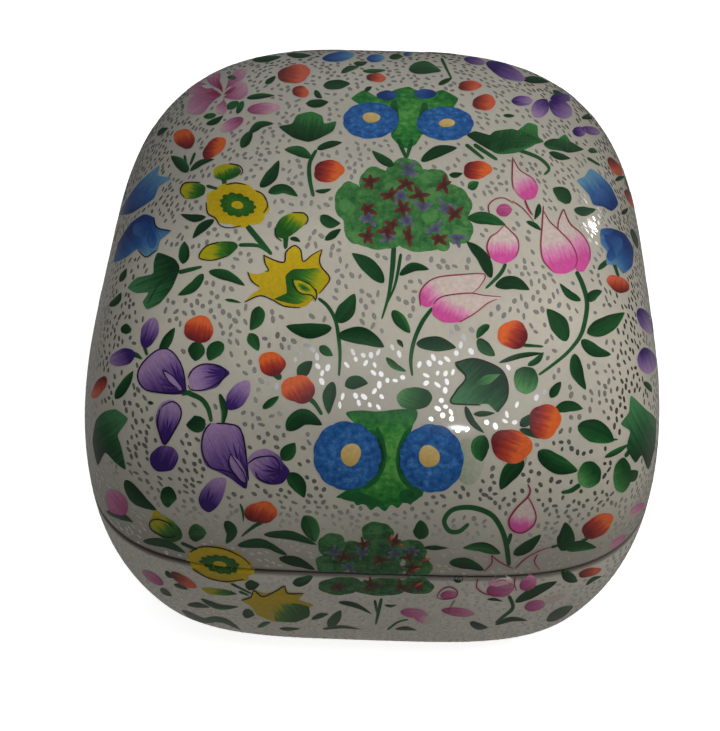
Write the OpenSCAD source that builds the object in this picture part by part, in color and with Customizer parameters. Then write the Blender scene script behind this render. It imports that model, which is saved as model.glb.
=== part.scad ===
// Square papier mache box with a domed lift-off lid. Millimetres, +Z up.
// The origin is under the middle of the foot, the front is towards -Y.
// Outline of a level: |x|^n + |y|^n = half width^n, where n is how square it is.

/* [Outline] */
// Width across the middle of the sides at the seam, over the coat
box_w = 100; // [70:1:150]
// How square the outline is at the seam, where 2 is round
seam_square = 4.2; // [2.5:0.1:6]
// How square the outline is at the crown of the lid
crown_square = 3.1; // [2:0.1:5]
// How square the outline is at the foot
foot_square = 3.8; // [2.5:0.1:6]

/* [Lid] */
// Height of the lid from the seam to the crown, over the coat
lid_h = 54.4; // [40:0.2:80]
// How full the lid's side profile is, where 2 is an ellipse
lid_full = 2.3; // [1.8:0.05:3.5]

/* [Base] */
// Depth of the base from the seam to the table
base_h = 33; // [22:0.5:60]
// Width across the foot, measured where the wall's curve would meet the table
foot_w = 86.4; // [70:0.4:96]
// How late the base wall turns in towards the foot
wall_bow = 1.9; // [1.2:0.05:3]
// Radius that rolls the wall into the flat foot
foot_r = 7; // [3:0.5:12]
// Radius between the inside wall and the floor
floor_r = 4; // [1:0.5:10]

/* [Layers] */
// Thickness of the pulp wall of lid and base
wall_t = 3; // [1.6:0.1:5]
// Thickness of the pulp floor
floor_t = 3; // [1.6:0.1:6]
// Thickness of the chalk ground with its paint and lacquer
coat_t = 0.5; // [0.2:0.05:1]
// Height at which the coat stops above the table
coat_lift = 0.4; // [0.1:0.05:1.5]
// Radius of the rounded edge that lid and base turn to the seam
seam_r = 0.9; // [0.4:0.1:1.8]

/* [Collar] */
// Thickness of the strip glued inside the base, which locates the lid
collar_t = 1.5; // [0.8:0.1:3]
// How far the collar stands above the seam
collar_up = 5; // [2:0.5:12]
// How far the collar reaches down inside the base
collar_down = 7; // [3:0.5:14]
// Radius of the collar's rounded top edge
collar_edge_r = 0.6; // [0.2:0.1:0.7]
// Glue line between the collar and the base wall
glue_gap = 0.05; // [0.02:0.01:0.15]
// Clearance between the collar and the inside of the lid
lid_gap = 0.4; // [0.3:0.05:1]

/* [Smoothness] */
// Facets round each level
facets = 60; // [32:4:72]
// Steps from the seam to the crown
lid_steps = 12; // [8:1:14]
// Steps down the straight part of the base wall
wall_steps = 6; // [3:1:8]
// Steps round each rounded edge
round_steps = 4; // [2:1:5]

/* [Hidden] */
seam_z = base_h;
inner_inset = coat_t + wall_t;
// Angle at which the foot's rounding reaches the height where the coat stops
coat_end = asin(1 - coat_lift / foot_r);

// A level of a surface: [half width, height, squareness]

function mix(a, b, t) = a + (b - a) * t;

// Radius of an outline of half width 1 in the direction t, for squareness n
function outline(t, n) = pow(pow(abs(cos(t)), n) + pow(abs(sin(t)), n), -1 / n);

// Squareness of the lid's outline at the share s of its height
function lid_square(s) = mix(seam_square, crown_square, s * s);

// Half width of the lid's surface at a share s of its height, for an inset
function lid_half(s, inset) =
    (box_w / 2 - inset) * pow(max(0, 1 - pow(s, lid_full)), 1 / lid_full);

// Level of the lid's surface at the angle a, from 0 at the seam to 90 at the crown
function lid_level(a, inset) =
    let (s = pow(sin(a), 2 / lid_full))
    [(box_w / 2 - inset) * pow(cos(a), 2 / lid_full), seam_z + s * (lid_h - inset), lid_square(s)];

// Half width of the base wall at a height z, before its foot is rounded
function wall_half(z, inset) =
    let (top = box_w / 2 - inset)
    let (foot = (foot_w / 2 - inset) / top)
    let (s = (seam_z - z) / base_h)
    top * pow(1 - (1 - pow(foot, wall_bow)) * pow(max(0, s), wall_bow), 1 / wall_bow);

// Squareness of the base's outline at a height z
function base_square(z) = mix(seam_square, foot_square, pow((seam_z - z) / base_h, 2));

// Level of the base wall at a height z
function wall_level(z, inset) = [wall_half(z, inset), z, base_square(z)];

// Level of the rounding at the bottom, a from 0 on the wall to 90 on the level low_z
function foot_level(a, inset, r, low_z) =
    let (z = low_z + r * (1 - sin(a)))
    [wall_half(z, inset) - r * (1 - cos(a)), z, base_square(z)];

// Levels of the lid's rounded edge at the seam, from the flat rim to the wall
function lid_edge(inset) = [
    for (i = [0 : round_steps])
        let (a = 90 * (1 - i / round_steps))
        let (z = seam_r * (1 - sin(a)))
        [lid_half(z / (lid_h - inset), inset) - seam_r * (1 - cos(a)), seam_z + z, seam_square]
];

// Levels of the base's rounded edge at the seam, from the flat rim to the wall
function base_edge(inset) = [
    for (i = [0 : round_steps])
        let (a = 90 * (1 - i / round_steps))
        let (z = seam_z - seam_r * (1 - sin(a)))
        [wall_half(z, inset) - seam_r * (1 - cos(a)), z, base_square(z)]
];

// Levels of the lid's outer surface for an inset, from the flat rim upwards
function lid_outside(inset) = concat(
    lid_edge(inset),
    [for (i = [1 : lid_steps - 1]) lid_level(90 * i / lid_steps, inset)]
);

// Levels of the lid's inner surface, from the flat rim upwards
function lid_inside() = [
    for (i = [0 : lid_steps - 1]) lid_level(90 * i / lid_steps, inner_inset)
];

// Levels of the base's outer surface for an inset, down to where the coat stops
function base_outside(inset) = concat(
    base_edge(inset),
    [for (i = [1 : wall_steps]) wall_level(mix(seam_z - seam_r, foot_r, i / wall_steps), inset)],
    [for (i = [1 : round_steps]) foot_level(coat_end * i / round_steps, inset, foot_r, 0)]
);

// Levels of the base's inner surface, from the flat rim down to the floor
function base_inside() = concat(
    [for (i = [0 : wall_steps]) wall_level(mix(seam_z, floor_t + floor_r, i / wall_steps), inner_inset)],
    [for (i = [1 : round_steps]) foot_level(90 * i / round_steps, inner_inset, floor_r, floor_t)]
);

// Levels of a list, last one first
function reversed(levels) = [for (i = [len(levels) - 1 : -1 : 0]) levels[i]];

// Points of one level
function level_points(level) = [
    for (i = [0 : facets - 1])
        let (t = 360 * i / facets)
        let (r = level[0] * outline(t, level[2]))
        [r * cos(t), r * sin(t), level[1]]
];

// Two triangles for each facet between level j and level k of a list. The facets are cut from
// lower left to upper right, so that two layers that share a surface share its facets
function strip(levels, j, k) = [
    for (i = [0 : facets - 1])
        let (next = (i + 1) % facets)
        let (a = j * facets + i, b = k * facets + i, c = k * facets + next, d = j * facets + next)
        each (levels[j][1] <= levels[k][1] ? [[a, b, c], [a, c, d]] : [[a, b, d], [b, c, d]])
];

// Solid whose levels start at the point low and end at the point high
module cup(levels, low, high) {
    count = len(levels);
    start = count * facets;
    points = concat([for (level = levels) each level_points(level)], [[0, 0, low], [0, 0, high]]);
    faces = concat(
        [for (j = [0 : count - 2]) each strip(levels, j, j + 1)],
        [for (i = [0 : facets - 1]) [start, i, (i + 1) % facets]],
        [for (i = [0 : facets - 1])
            [start + 1, (count - 1) * facets + (i + 1) % facets, (count - 1) * facets + i]]
    );
    polyhedron(points = points, faces = faces, convexity = 6);
}

// Ring whose last level joins its first
module ring(levels) {
    count = len(levels);
    points = [for (level = levels) each level_points(level)];
    faces = [for (j = [0 : count - 1]) each strip(levels, j, (j + 1) % count)];
    polyhedron(points = points, faces = faces, convexity = 6);
}

// Pulp bowl of the base, painted black inside and under the foot
module base_shell() {
    outside = base_outside(coat_t);
    foot = [foot_level(90, coat_t, foot_r, 0)];
    color("#1d1b1c")
        cup(concat(reversed(concat(outside, foot)), base_inside()), 0, floor_t);
}

// Painted chalk ground round the outside of the base
module base_coat() {
    color("#ddd8c8")
        ring(concat(reversed(base_outside(0)), base_outside(coat_t)));
}

// Strip glued inside the base's mouth, which the lid slips over
module rim_collar() {
    lid_inside_half = lid_half(collar_up / (lid_h - inner_inset), inner_inset);
    upper = lid_inside_half - lid_gap;
    inner = box_w / 2 - inner_inset - glue_gap - collar_t;
    top = seam_z + collar_up;
    low = seam_z - collar_down;
    wall_inset = inner_inset + glue_gap;
    color("#262324")
        ring(concat(
            [[inner, low, seam_square]],
            [for (i = [0 : round_steps]) wall_level(mix(low, seam_z, i / round_steps), wall_inset)],
            [[upper, seam_z, seam_square], [upper, top - collar_edge_r, seam_square]],
            [[upper - collar_edge_r, top, seam_square], [inner, top, seam_square]]
        ));
}

// Pulp dome of the lid, painted black inside
module lid_shell() {
    color("#1d1b1c")
        cup(concat(reversed(lid_inside()), lid_outside(coat_t)), seam_z + lid_h - inner_inset,
            seam_z + lid_h - coat_t);
}

// Painted chalk ground over the lid
module lid_coat() {
    color("#ddd8c8")
        cup(concat(reversed(lid_outside(coat_t)), lid_outside(0)), seam_z + lid_h - coat_t,
            seam_z + lid_h);
}

base_shell();
base_coat();
rim_collar();
lid_shell();
lid_coat();
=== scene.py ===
"""Looks of a square papier mache box with a domed lift-off lid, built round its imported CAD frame.

The box wears a traditional hand-painted flower ornament on an ivory ground between silver dashes,
all under a clear lacquer. Every motif is a film of paint laid on the surface stroke by stroke.
Lengths are millimetres until a mesh is made. The front is -Y, and the seam of the lid is level.
"""

from __future__ import annotations

import logging
import math
from dataclasses import dataclass, field
from enum import Enum
from functools import partial

import bpy
import numpy as np
from bpy.types import Material, Node, NodeSocket, NodeTree, Object
from mathutils import Matrix, Vector

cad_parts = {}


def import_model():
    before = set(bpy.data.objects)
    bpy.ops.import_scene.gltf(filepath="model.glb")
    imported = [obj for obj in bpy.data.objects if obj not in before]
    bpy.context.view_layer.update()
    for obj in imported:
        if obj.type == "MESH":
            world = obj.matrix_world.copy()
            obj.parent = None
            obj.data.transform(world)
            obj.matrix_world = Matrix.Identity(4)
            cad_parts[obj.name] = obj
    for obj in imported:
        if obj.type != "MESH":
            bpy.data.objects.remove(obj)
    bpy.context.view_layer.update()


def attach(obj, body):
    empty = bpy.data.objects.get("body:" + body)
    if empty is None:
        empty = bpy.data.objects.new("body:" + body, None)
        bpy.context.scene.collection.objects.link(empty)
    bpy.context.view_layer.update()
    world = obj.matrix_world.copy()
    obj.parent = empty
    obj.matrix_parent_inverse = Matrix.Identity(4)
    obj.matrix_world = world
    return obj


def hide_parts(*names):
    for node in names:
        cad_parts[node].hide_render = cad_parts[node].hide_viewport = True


LOG = logging.getLogger("papier_mache_box")
MM = 0.001
TINY = 1e-9
# A point of the sheet, a direction on it, or the tones at two ends
Pair = tuple[float, float]


class Body(Enum):
    """The two bodies that the lid's joint parts."""

    BASE = "base"
    LID = "lid"


class Slot(Enum):
    """Material slots."""

    PULP = "black_pulp"
    GROUND = "painted_ground"


# The form of the box

@dataclass(frozen=True)
class BoxForm:
    """Sizes of the box, the same ones as in the CAD source.

    A level's outline is |x|^n + |y|^n = half^n, where n says how square it is.
    """

    half: float = 50.0
    seam_z: float = 33.0
    lid_h: float = 54.4
    lid_full: float = 2.3
    foot_half: float = 43.2
    wall_bow: float = 1.9
    foot_r: float = 7.0
    floor_r: float = 4.0
    floor_t: float = 3.0
    rim_r: float = 0.9
    seam_square: float = 4.2
    crown_square: float = 3.1
    foot_square: float = 3.8
    coat_t: float = 0.5
    coat_lift: float = 0.4
    inner_inset: float = 3.5
    collar_inner: float = 44.95
    collar_up: float = 5.0
    collar_down: float = 7.0
    collar_edge: float = 0.6
    lid_gap: float = 0.4
    glue_gap: float = 0.05
    ground_inset: float = 0.12

    def square(self, z: np.ndarray) -> np.ndarray:
        """Squareness of the outline, which changes with the square of the distance from the seam.

        Args:
            z: Heights.

        Returns:
            The exponent n at each height.
        """
        up = np.clip((z - self.seam_z) / self.lid_h, 0, 1)
        down = np.clip((self.seam_z - z) / self.seam_z, 0, 1)
        lid = self.seam_square + (self.crown_square - self.seam_square) * up**2
        base = self.seam_square + (self.foot_square - self.seam_square) * down**2
        return np.where(z >= self.seam_z, lid, base)

    def lid_half(self, z: np.ndarray, inset: np.ndarray) -> np.ndarray:
        """Half width of the lid, before its rim is rounded.

        Its side is |half|^n + |height|^n = constant, where n is how full the lid is.

        Args:
            z: Heights.
            inset: How far below the full size the surface lies.

        Returns:
            The half widths.
        """
        share = np.clip((z - self.seam_z) / (self.lid_h - inset), 0, 1)
        return (self.half - inset) * (1 - share**self.lid_full) ** (1 / self.lid_full)

    def wall_half(self, z: np.ndarray, inset: np.ndarray, roll: bool = True) -> np.ndarray:
        """Half width of the base, which draws in by a power of the distance below the seam.

        Args:
            z: Heights.
            inset: How far below the full size the surface lies.
            roll: Whether a quarter circle rolls the wall into the foot.

        Returns:
            The half widths.
        """
        top = self.half - inset
        foot = (self.foot_half - inset) / top
        share = np.clip((self.seam_z - z) / self.seam_z, 0, 1)
        half = top * (1 - (1 - foot**self.wall_bow) * share**self.wall_bow) ** (1 / self.wall_bow)
        if not roll:
            return half
        sine = np.clip(1 - z / self.foot_r, 0, 1)
        return half - self.foot_r * (1 - np.sqrt(1 - sine**2))

    def rim(self, z: np.ndarray) -> np.ndarray:
        """How far the rounded edge at the seam draws the surface in at the heights z."""
        sine = np.clip(1 - np.abs(z - self.seam_z) / self.rim_r, 0, 1)
        return self.rim_r * (1 - np.sqrt(1 - sine**2))

    def outer_half(self, z: np.ndarray, inset: np.ndarray) -> np.ndarray:
        """Half width of the whole box at the heights z, as if it had no seam."""
        return np.where(z >= self.seam_z, self.lid_half(z, inset), self.wall_half(z, inset))


FORM = BoxForm()
# Distance over which a slope of the surface is measured
SLOPE_STEP = 0.05
# How fast the distance outside the box grows above and below it
STEEP = 4


def outline_size(x: np.ndarray, y: np.ndarray, n: np.ndarray) -> np.ndarray:
    """Half width of the outline that passes through a point: (|x|^n + |y|^n)^(1/n).

    Args:
        x, y: The points.
        n: Squareness of the outline at each point.

    Returns:
        The half widths.
    """
    ax, ay = np.abs(x) + TINY, np.abs(y) + TINY
    big = np.maximum(ax, ay)
    return big * ((ax / big) ** n + (ay / big) ** n) ** (1 / n)


def outside(points: np.ndarray, inset: np.ndarray) -> np.ndarray:
    """How far outside the box points lie, measured across a level.

    Args:
        points: The points.
        inset: How far below the full size each one's surface lies.

    Returns:
        The distances, negative inside. Above the crown and below the foot they grow steeply.
    """
    z = points[..., 2]
    size = outline_size(points[..., 0], points[..., 1], FORM.square(z))
    above = np.maximum(z - (FORM.seam_z + FORM.lid_h - inset), 0)
    below = np.maximum(-z, 0)
    return size - FORM.outer_half(z, inset) + STEEP * (above + below)


def normals(points: np.ndarray) -> np.ndarray:
    """Outward unit normals of the box, from the slope of the distance outside it.

    Args:
        points: Points on its surface.

    Returns:
        A normal for each point.
    """
    inset = np.full(len(points), FORM.ground_inset)
    grad = np.empty_like(points)
    for axis in range(3):
        move = np.zeros(3)
        move[axis] = SLOPE_STEP
        grad[:, axis] = outside(points + move, inset) - outside(points - move, inset)
    return grad / np.linalg.norm(grad, axis=1, keepdims=True)


# Meshes

def grid_quads(rows: int, columns: int, closed: bool = False) -> np.ndarray:
    """Quads of a grid of vertices.

    Args:
        rows: Rows of vertices.
        columns: Vertices in a row.
        closed: Whether the last column joins the first.

    Returns:
        Four vertex numbers for each quad.
    """
    wide = columns if closed else columns - 1
    row = np.repeat(np.arange(rows - 1), wide)
    column = np.tile(np.arange(wide), rows - 1)
    after = (column + 1) % columns
    return np.stack(
        [row * columns + column, row * columns + after, (row + 1) * columns + after,
         (row + 1) * columns + column], axis=1)


def mesh_object(
    name: str,
    points: np.ndarray,
    quads: np.ndarray,
    materials: list[Material],
    paint: np.ndarray | None = None,
    which: np.ndarray | None = None,
) -> Object:
    """Makes a smooth mesh object from arrays.

    Args:
        name: Name of the piece.
        points: Vertices in millimetres.
        quads: Four vertex numbers for each face.
        materials: Materials of the piece.
        paint: Brush coordinates of each vertex, as a UV map.
        which: Number of the material of each face.

    Returns:
        The object, linked to the scene.
    """
    mesh = bpy.data.meshes.new(name)
    mesh.vertices.add(len(points))
    mesh.vertices.foreach_set("co", (points * MM).astype(np.float32).ravel())
    mesh.loops.add(quads.size)
    mesh.loops.foreach_set("vertex_index", quads.astype(np.int32).ravel())
    mesh.polygons.add(len(quads))
    mesh.polygons.foreach_set("loop_start", np.arange(0, quads.size, 4, dtype=np.int32))
    if paint is not None:
        layer = mesh.uv_layers.new(name="paint")
        layer.data.foreach_set("uv", paint[quads.ravel()].astype(np.float32).ravel())
    for material in materials:
        mesh.materials.append(material)
    if which is not None:
        mesh.polygons.foreach_set("material_index", which.astype(np.int32))
    mesh.polygons.foreach_set("use_smooth", np.ones(len(quads), bool))
    mesh.update(calc_edges=True)
    piece = bpy.data.objects.new(name, mesh)
    bpy.context.scene.collection.objects.link(piece)
    return piece


@dataclass
class Meridian:
    """A list of levels that is swept round the box's outlines."""

    half: np.ndarray
    z: np.ndarray
    square: np.ndarray

    def __add__(self, other: Meridian) -> Meridian:
        """This meridian, then the other one."""
        return Meridian(*(np.concatenate([getattr(self, k), getattr(other, k)])
                          for k in ("half", "z", "square")))

    def points(self, columns: int) -> np.ndarray:
        """Vertices of the swept surface: a superellipse at each level.

        Args:
            columns: Vertices round each level.

        Returns:
            Vertices, levels by columns.
        """
        bearing = np.linspace(0, 2 * math.pi, columns, endpoint=False)[None, :]
        c, s = np.cos(bearing), np.sin(bearing)
        n = self.square[:, None]
        radius = self.half[:, None] / ((np.abs(c) + TINY)**n + (np.abs(s) + TINY)**n) ** (1 / n)
        height = np.broadcast_to(self.z[:, None], radius.shape)
        return np.stack([radius * c, radius * s, height], axis=2)


def meridian(half: np.ndarray, z: np.ndarray) -> Meridian:
    """Levels with the box's own squareness."""
    half, z = np.asarray(half, float), np.asarray(z, float)
    return Meridian(half, z, FORM.square(z))


def swept(name: str, levels: Meridian, material: Material, columns: int) -> Object:
    """The surface of a meridian swept round the box as one mesh object."""
    points = levels.points(columns).reshape(-1, 3)
    return mesh_object(name, points, grid_quads(len(levels.z), columns, True), [material])


def lid_heights(steps: int, inset: float) -> np.ndarray:
    """Heights up the lid's curve at even steps of its angle.

    Args:
        steps: Number of heights.
        inset: How far below the full size the surface lies.

    Returns:
        Heights from the top of the lid's rounded rim to its crown.
    """
    top = FORM.lid_h - inset
    first = math.asin((FORM.rim_r / top) ** (FORM.lid_full / 2))
    angle = np.linspace(first, math.pi / 2, steps)
    return FORM.seam_z + top * np.sin(angle) ** (2 / FORM.lid_full)


def rim_heights(steps: int) -> np.ndarray:
    """Distances from the seam over the rounded rim, from the flat edge to the wall."""
    angle = np.linspace(math.pi / 2, 0, steps)
    return FORM.rim_r * (1 - np.sin(angle))


# Materials

def linear(colour: str) -> tuple[float, float, float, float]:
    """Linear colour of an sRGB hex value such as #d3cebf."""
    parts = [int(colour[i : i + 2], 16) / 255 for i in (1, 3, 5)]
    return (*(p / 12.92 if p <= 0.04045 else ((p + 0.055) / 1.055) ** 2.4 for p in parts), 1.0)


def add_node(tree: NodeTree, kind: str, values: dict | None = None) -> Node:
    """Adds a node to a tree.

    Args:
        tree: Node tree that gets the node.
        kind: Node type, without the ShaderNode that every one begins with.
        values: Values by attribute name, or by input name or number. A socket is linked to its
            input, and so is the first output of a node.

    Returns:
        The node.
    """
    node = tree.nodes.new("ShaderNode" + kind)
    for key, value in (values or {}).items():
        if isinstance(value, Node):
            value = value.outputs[0]
        if isinstance(value, NodeSocket):
            tree.links.new(value, node.inputs[key])
        elif isinstance(key, str) and hasattr(node, key):
            setattr(node, key, value)
        else:
            node.inputs[key].default_value = value
    return node


Source = Node | NodeSocket | float


def calc(tree: NodeTree, operation: str, *values: Source) -> Node:
    """A math node on numbers and sockets, in the order of its inputs."""
    return add_node(tree, "Math", {"operation": operation, **dict(enumerate(values))})


def fade(tree: NodeTree, value: Source, start: float, end: float, low: float, high: float,
         run: str = "SMOOTHSTEP") -> Node:
    """Maps a value that runs from start to end onto low to high, and holds it there beyond."""
    return add_node(tree, "MapRange", {"interpolation_type": run, "Value": value, "From Min": start,
                                       "From Max": end, "To Min": low, "To Max": high})


def blend(tree: NodeTree, share: Source, first: Source | tuple, second: tuple) -> NodeSocket:
    """Mix of two colours by the share of the second."""
    return add_node(tree, "Mix", {"data_type": "RGBA", 0: share, 6: first, 7: second}).outputs[2]


def clouds(tree: NodeTree, place: Source, size: float, detail: float) -> Node:
    """Noise in the object's own space, its spots about the size in millimetres."""
    return add_node(tree, "TexNoise", {"Vector": place, "Scale": 1 / (size * MM), "Detail": detail})


def object_place(tree: NodeTree) -> NodeSocket:
    """Place of a point in its object's own space."""
    return add_node(tree, "TexCoord").outputs["Object"]


@dataclass(frozen=True)
class Lacquer:
    """Clear varnish over the painting, polished until it mirrors lamps and windows."""

    weight: float = 0.5
    roughness: float = 0.07
    ior: float = 1.5
    under: float = 0.08

    def sockets(self) -> dict[str, float]:
        """Values for the coat sockets of a Principled node, and the little gloss left under the coat."""
        return {"Coat Weight": self.weight, "Coat Roughness": self.roughness, "Coat IOR": self.ior,
                "Specular IOR Level": self.under}


LACQUER = Lacquer()


def new_tree(name: str) -> tuple[Material, NodeTree]:
    """An empty material with nodes.

    Args:
        name: Its name.

    Returns:
        The material and its node tree.
    """
    material = bpy.data.materials.new(name)
    material.use_nodes = True
    material.node_tree.nodes.clear()
    return material, material.node_tree


def surface_out(tree: NodeTree, values: dict) -> None:
    """Ends a material in a Principled surface."""
    shader = add_node(tree, "BsdfPrincipled", {"IOR": PAINT_IOR, **values})
    add_node(tree, "OutputMaterial", {"Surface": shader})


PAINT_IOR = 1.5
# Length of a unit of the second brush coordinate, which runs across a stroke
ACROSS_MM = 10
# Streaks along the whole of a stroke, where many more lie side by side across it
STREAK_RUN = 1.2
GRAIN_MM = 0.6


@dataclass(frozen=True)
class Pigment:
    """An opaque water paint laid with a pointed brush, drawn out from a deep tone to a light one.

    Stops are the tones at which the deep, middle and light colours stand. Dabs is the size in
    millimetres of the spots of a paint that is dabbed on, or 0 for one that is drawn out in hairs.
    """

    name: str
    deep: str
    middle: str
    light: str
    stops: tuple[float, float, float] = (0.08, 0.5, 0.95)
    streak: float = 0.25
    streaks_per_mm: float = 2.4
    grain: float = 0.1
    dabs: float = 0.0
    roughness: float = 0.45

    def texture(self, tree: NodeTree, split: Node, place: Source) -> Node:
        """Hair streaks along the stroke, or the spots of a dabbing brush.

        Args:
            tree: Node tree of the paint.
            split: Node that parts the brush coordinates.
            place: Place of a point in its object's own space.

        Returns:
            A noise node about the middle value 0.5.
        """
        noise = {"Vector": place, "Scale": 1.0, "Detail": 2.0, "Roughness": 0.6}
        if self.dabs:
            noise["Scale"] = 1 / (self.dabs * MM)
        else:
            along = calc(tree, "MULTIPLY", split, STREAK_RUN)
            across = calc(tree, "MULTIPLY", split.outputs[1], ACROSS_MM * self.streaks_per_mm)
            noise["Vector"] = add_node(tree, "CombineXYZ", {0: along, 1: across})
        return add_node(tree, "TexNoise", noise)

    def material(self) -> Material:
        """The paint, whose tone follows the stroke and breaks up in its texture."""
        material, tree = new_tree(self.name)
        brush = add_node(tree, "UVMap", {"uv_map": "paint"})
        split = add_node(tree, "SeparateXYZ", {0: brush})
        place = object_place(tree)
        centred = calc(tree, "SUBTRACT", self.texture(tree, split, place), 0.5)
        tone = calc(tree, "MULTIPLY_ADD", centred, 2 * self.streak, split)
        ramp = add_node(tree, "ValToRGB", {0: tone})
        marks = ramp.color_ramp.elements
        marks[0].position, marks[0].color = self.stops[0], linear(self.deep)
        marks[1].position, marks[1].color = self.stops[2], linear(self.light)
        marks.new(self.stops[1]).color = linear(self.middle)
        grain = fade(tree, clouds(tree, place, GRAIN_MM, 3.0), 0.3, 0.7, 1 - self.grain, 1 + self.grain,
                     "LINEAR")
        colour = add_node(tree, "VectorMath", {"operation": "SCALE", 0: ramp, "Scale": grain})
        surface_out(tree, {"Base Color": colour, "Roughness": self.roughness, **LACQUER.sockets()})
        return material


# Stops of the deep, middle and light colour
EVEN = (0.08, 0.5, 0.95)
DABBED = (0.28, 0.5, 0.74)
SHORT = (0.14, 0.46, 0.72)


class Paint(Enum):
    """The painter's colours."""

    LEAF = Pigment("leaf_green_paint", "#0f381c", "#1c5229", "#3a8243", (0.1, 0.5, 0.9), 0.36, 2.0)
    STEM = Pigment("stem_green_paint", "#164326", "#1d552c", "#316d38", EVEN, 0.2)
    IVY = Pigment("ivy_green_paint", "#0f361d", "#215832", "#4a8759", (0.12, 0.45, 0.9), 0.36, 2.0)
    POD = Pigment("pod_green_paint", "#174a25", "#34713a", "#62a05f", EVEN, 0.35, 2.6)
    ORANGE = Pigment("orange_paint", "#742227", "#b83f2c", "#ea6c34", SHORT, 0.3, 2.0)
    RED = Pigment("red_orange_paint", "#722a28", "#b4462e", "#dc6446", SHORT, 0.3, 2.0)
    PINK = Pigment("rose_paint", "#dd58a7", "#e696c1", "#dccbc3", (0.06, 0.3, 0.5), 0.2, 2.0)
    PINK_DEEP = Pigment("magenta_paint", "#a93c78", "#c76498", "#d896b3", EVEN, 0.36, 2.0)
    OLD_ROSE = Pigment("old_rose_paint", "#a04c78", "#c27a9c", "#d8a9ba", EVEN, 0.4, 2.2)
    THIN_GREEN = Pigment("thin_green_wash", "#a3ad94", "#b2b8a3", "#c0c3b2", EVEN, 0.2)
    YELLOW = Pigment("yellow_paint", "#7c830f", "#bb9f0b", "#d6b618", (0.08, 0.3, 0.95), 0.22, 2.4)
    OLIVE = Pigment("sap_green_paint", "#1f5a1a", "#458020", "#b7b014", (0.2, 0.55, 0.85), 0.38, 2.2)
    BLUE = Pigment("cobalt_blue_paint", "#1a4b8c", "#2d6ab2", "#5693cd", DABBED, 0.42, dabs=0.9)
    BELL = Pigment("bluebell_paint", "#183c80", "#2f66a8", "#669dc3", EVEN, 0.34, 1.6)
    VIOLET = Pigment("violet_paint", "#3a206c", "#745499", "#ad8fbd", (0.13, 0.45, 0.93), 0.36, 2.2)
    EYE = Pigment("cream_yellow_paint", "#cfae62", "#dcbd74", "#e4c884", EVEN, 0.12)
    BACKING = Pigment("backing_green_paint", "#1c6a2c", "#35893b", "#5fa84e", DABBED, 0.5, dabs=1.1)
    SHADE = Pigment("dark_green_paint", "#0c3a22", "#134827", "#1f6432", DABBED, 0.35, dabs=0.9)
    BUSH = Pigment("bush_green_paint", "#275e33", "#3c7841", "#589351", DABBED, 0.42, dabs=1.0)
    OLD_BUSH = Pigment("old_bush_green_paint", "#1c4629", "#2f6237", "#47804a", DABBED, 0.45, dabs=1.2)
    BROWN = Pigment("brown_paint", "#4a2624", "#5c3029", "#714036", EVEN, 0.3)
    MAUVE = Pigment("mauve_paint", "#454a66", "#5a5d78", "#74738c", EVEN, 0.3)
    INK = Pigment("black_outline_paint", "#17151a", "#1d1b1e", "#2a2729", EVEN, 0.2, roughness=0.5)
    CRIMSON = Pigment("crimson_outline_paint", "#7e1f3d", "#9c3156", "#bb5276", EVEN, 0.3)
    DARK_VIOLET = Pigment("violet_outline_paint", "#1c1330", "#24183e", "#352551", EVEN, 0.2)
    NAVY = Pigment("navy_blue_paint", "#1d4187", "#27529a", "#3a6cab", EVEN, 0.3, 1.8)


@dataclass(frozen=True)
class IvoryGround:
    """Chalk ground painted ivory and lacquered: warm pale grey with faint cloudy patches."""

    name: str = "ivory_ground"
    colour: str = "#d3cec0"
    cloudy: str = "#c6c2b6"
    # Painted shadow: colour laid in the groove of the seam
    seam_shadow: str = "#51493f"
    # Painted shade: colour of the band of the lid that darkens towards the seam
    low_lid_shade: str = "#8f887c"
    cloud_mm: float = 16.0
    speck_mm: float = 0.9
    speck_share: float = 0.35
    roughness: float = 0.4
    seam_full: float = 0.1
    seam_reach: float = 1.45
    low_lid_shade_reach: float = 17.0
    low_lid_shade_share: float = 0.5

    def material(self) -> Material:
        """The ground, with painted shade in a band of the lid above the seam and a painted shadow in the
        groove of the seam.
        """
        material, tree = new_tree(self.name)
        place = object_place(tree)
        cloud = clouds(tree, place, self.cloud_mm, 4.0)
        speck = clouds(tree, place, self.speck_mm, 2.0)
        both = calc(tree, "MULTIPLY_ADD", speck, self.speck_share, cloud)
        share = fade(tree, both, 0.5, 0.85, 0.0, 1.0, "LINEAR")
        ground = blend(tree, share, linear(self.colour), linear(self.cloudy))
        # Painted shade: the lid's ground grows darker in a band above the seam, for the shade on the low
        # lid
        split = add_node(tree, "SeparateXYZ", {0: place})
        level = calc(tree, "SUBTRACT", split.outputs[2], FORM.seam_z * MM)
        band_shade = fade(tree, level, 0.0, self.low_lid_shade_reach * MM, self.low_lid_shade_share, 0.0)
        worn = calc(tree, "MULTIPLY", band_shade, calc(tree, "GREATER_THAN", level, 0.0))
        ground_with_band_shade = blend(tree, worn, ground, linear(self.low_lid_shade))
        # Painted shadow in the groove of the seam, darkest at the seam and fading out above and below it
        away = calc(tree, "ABSOLUTE", level)
        groove_shade = fade(tree, away, self.seam_full * MM, self.seam_reach * MM, 1.0, 0.0)
        colour = blend(tree, groove_shade, ground_with_band_shade, linear(self.seam_shadow))
        surface_out(tree, {"Base Color": colour, "Roughness": self.roughness, **LACQUER.sockets()})
        return material


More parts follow.
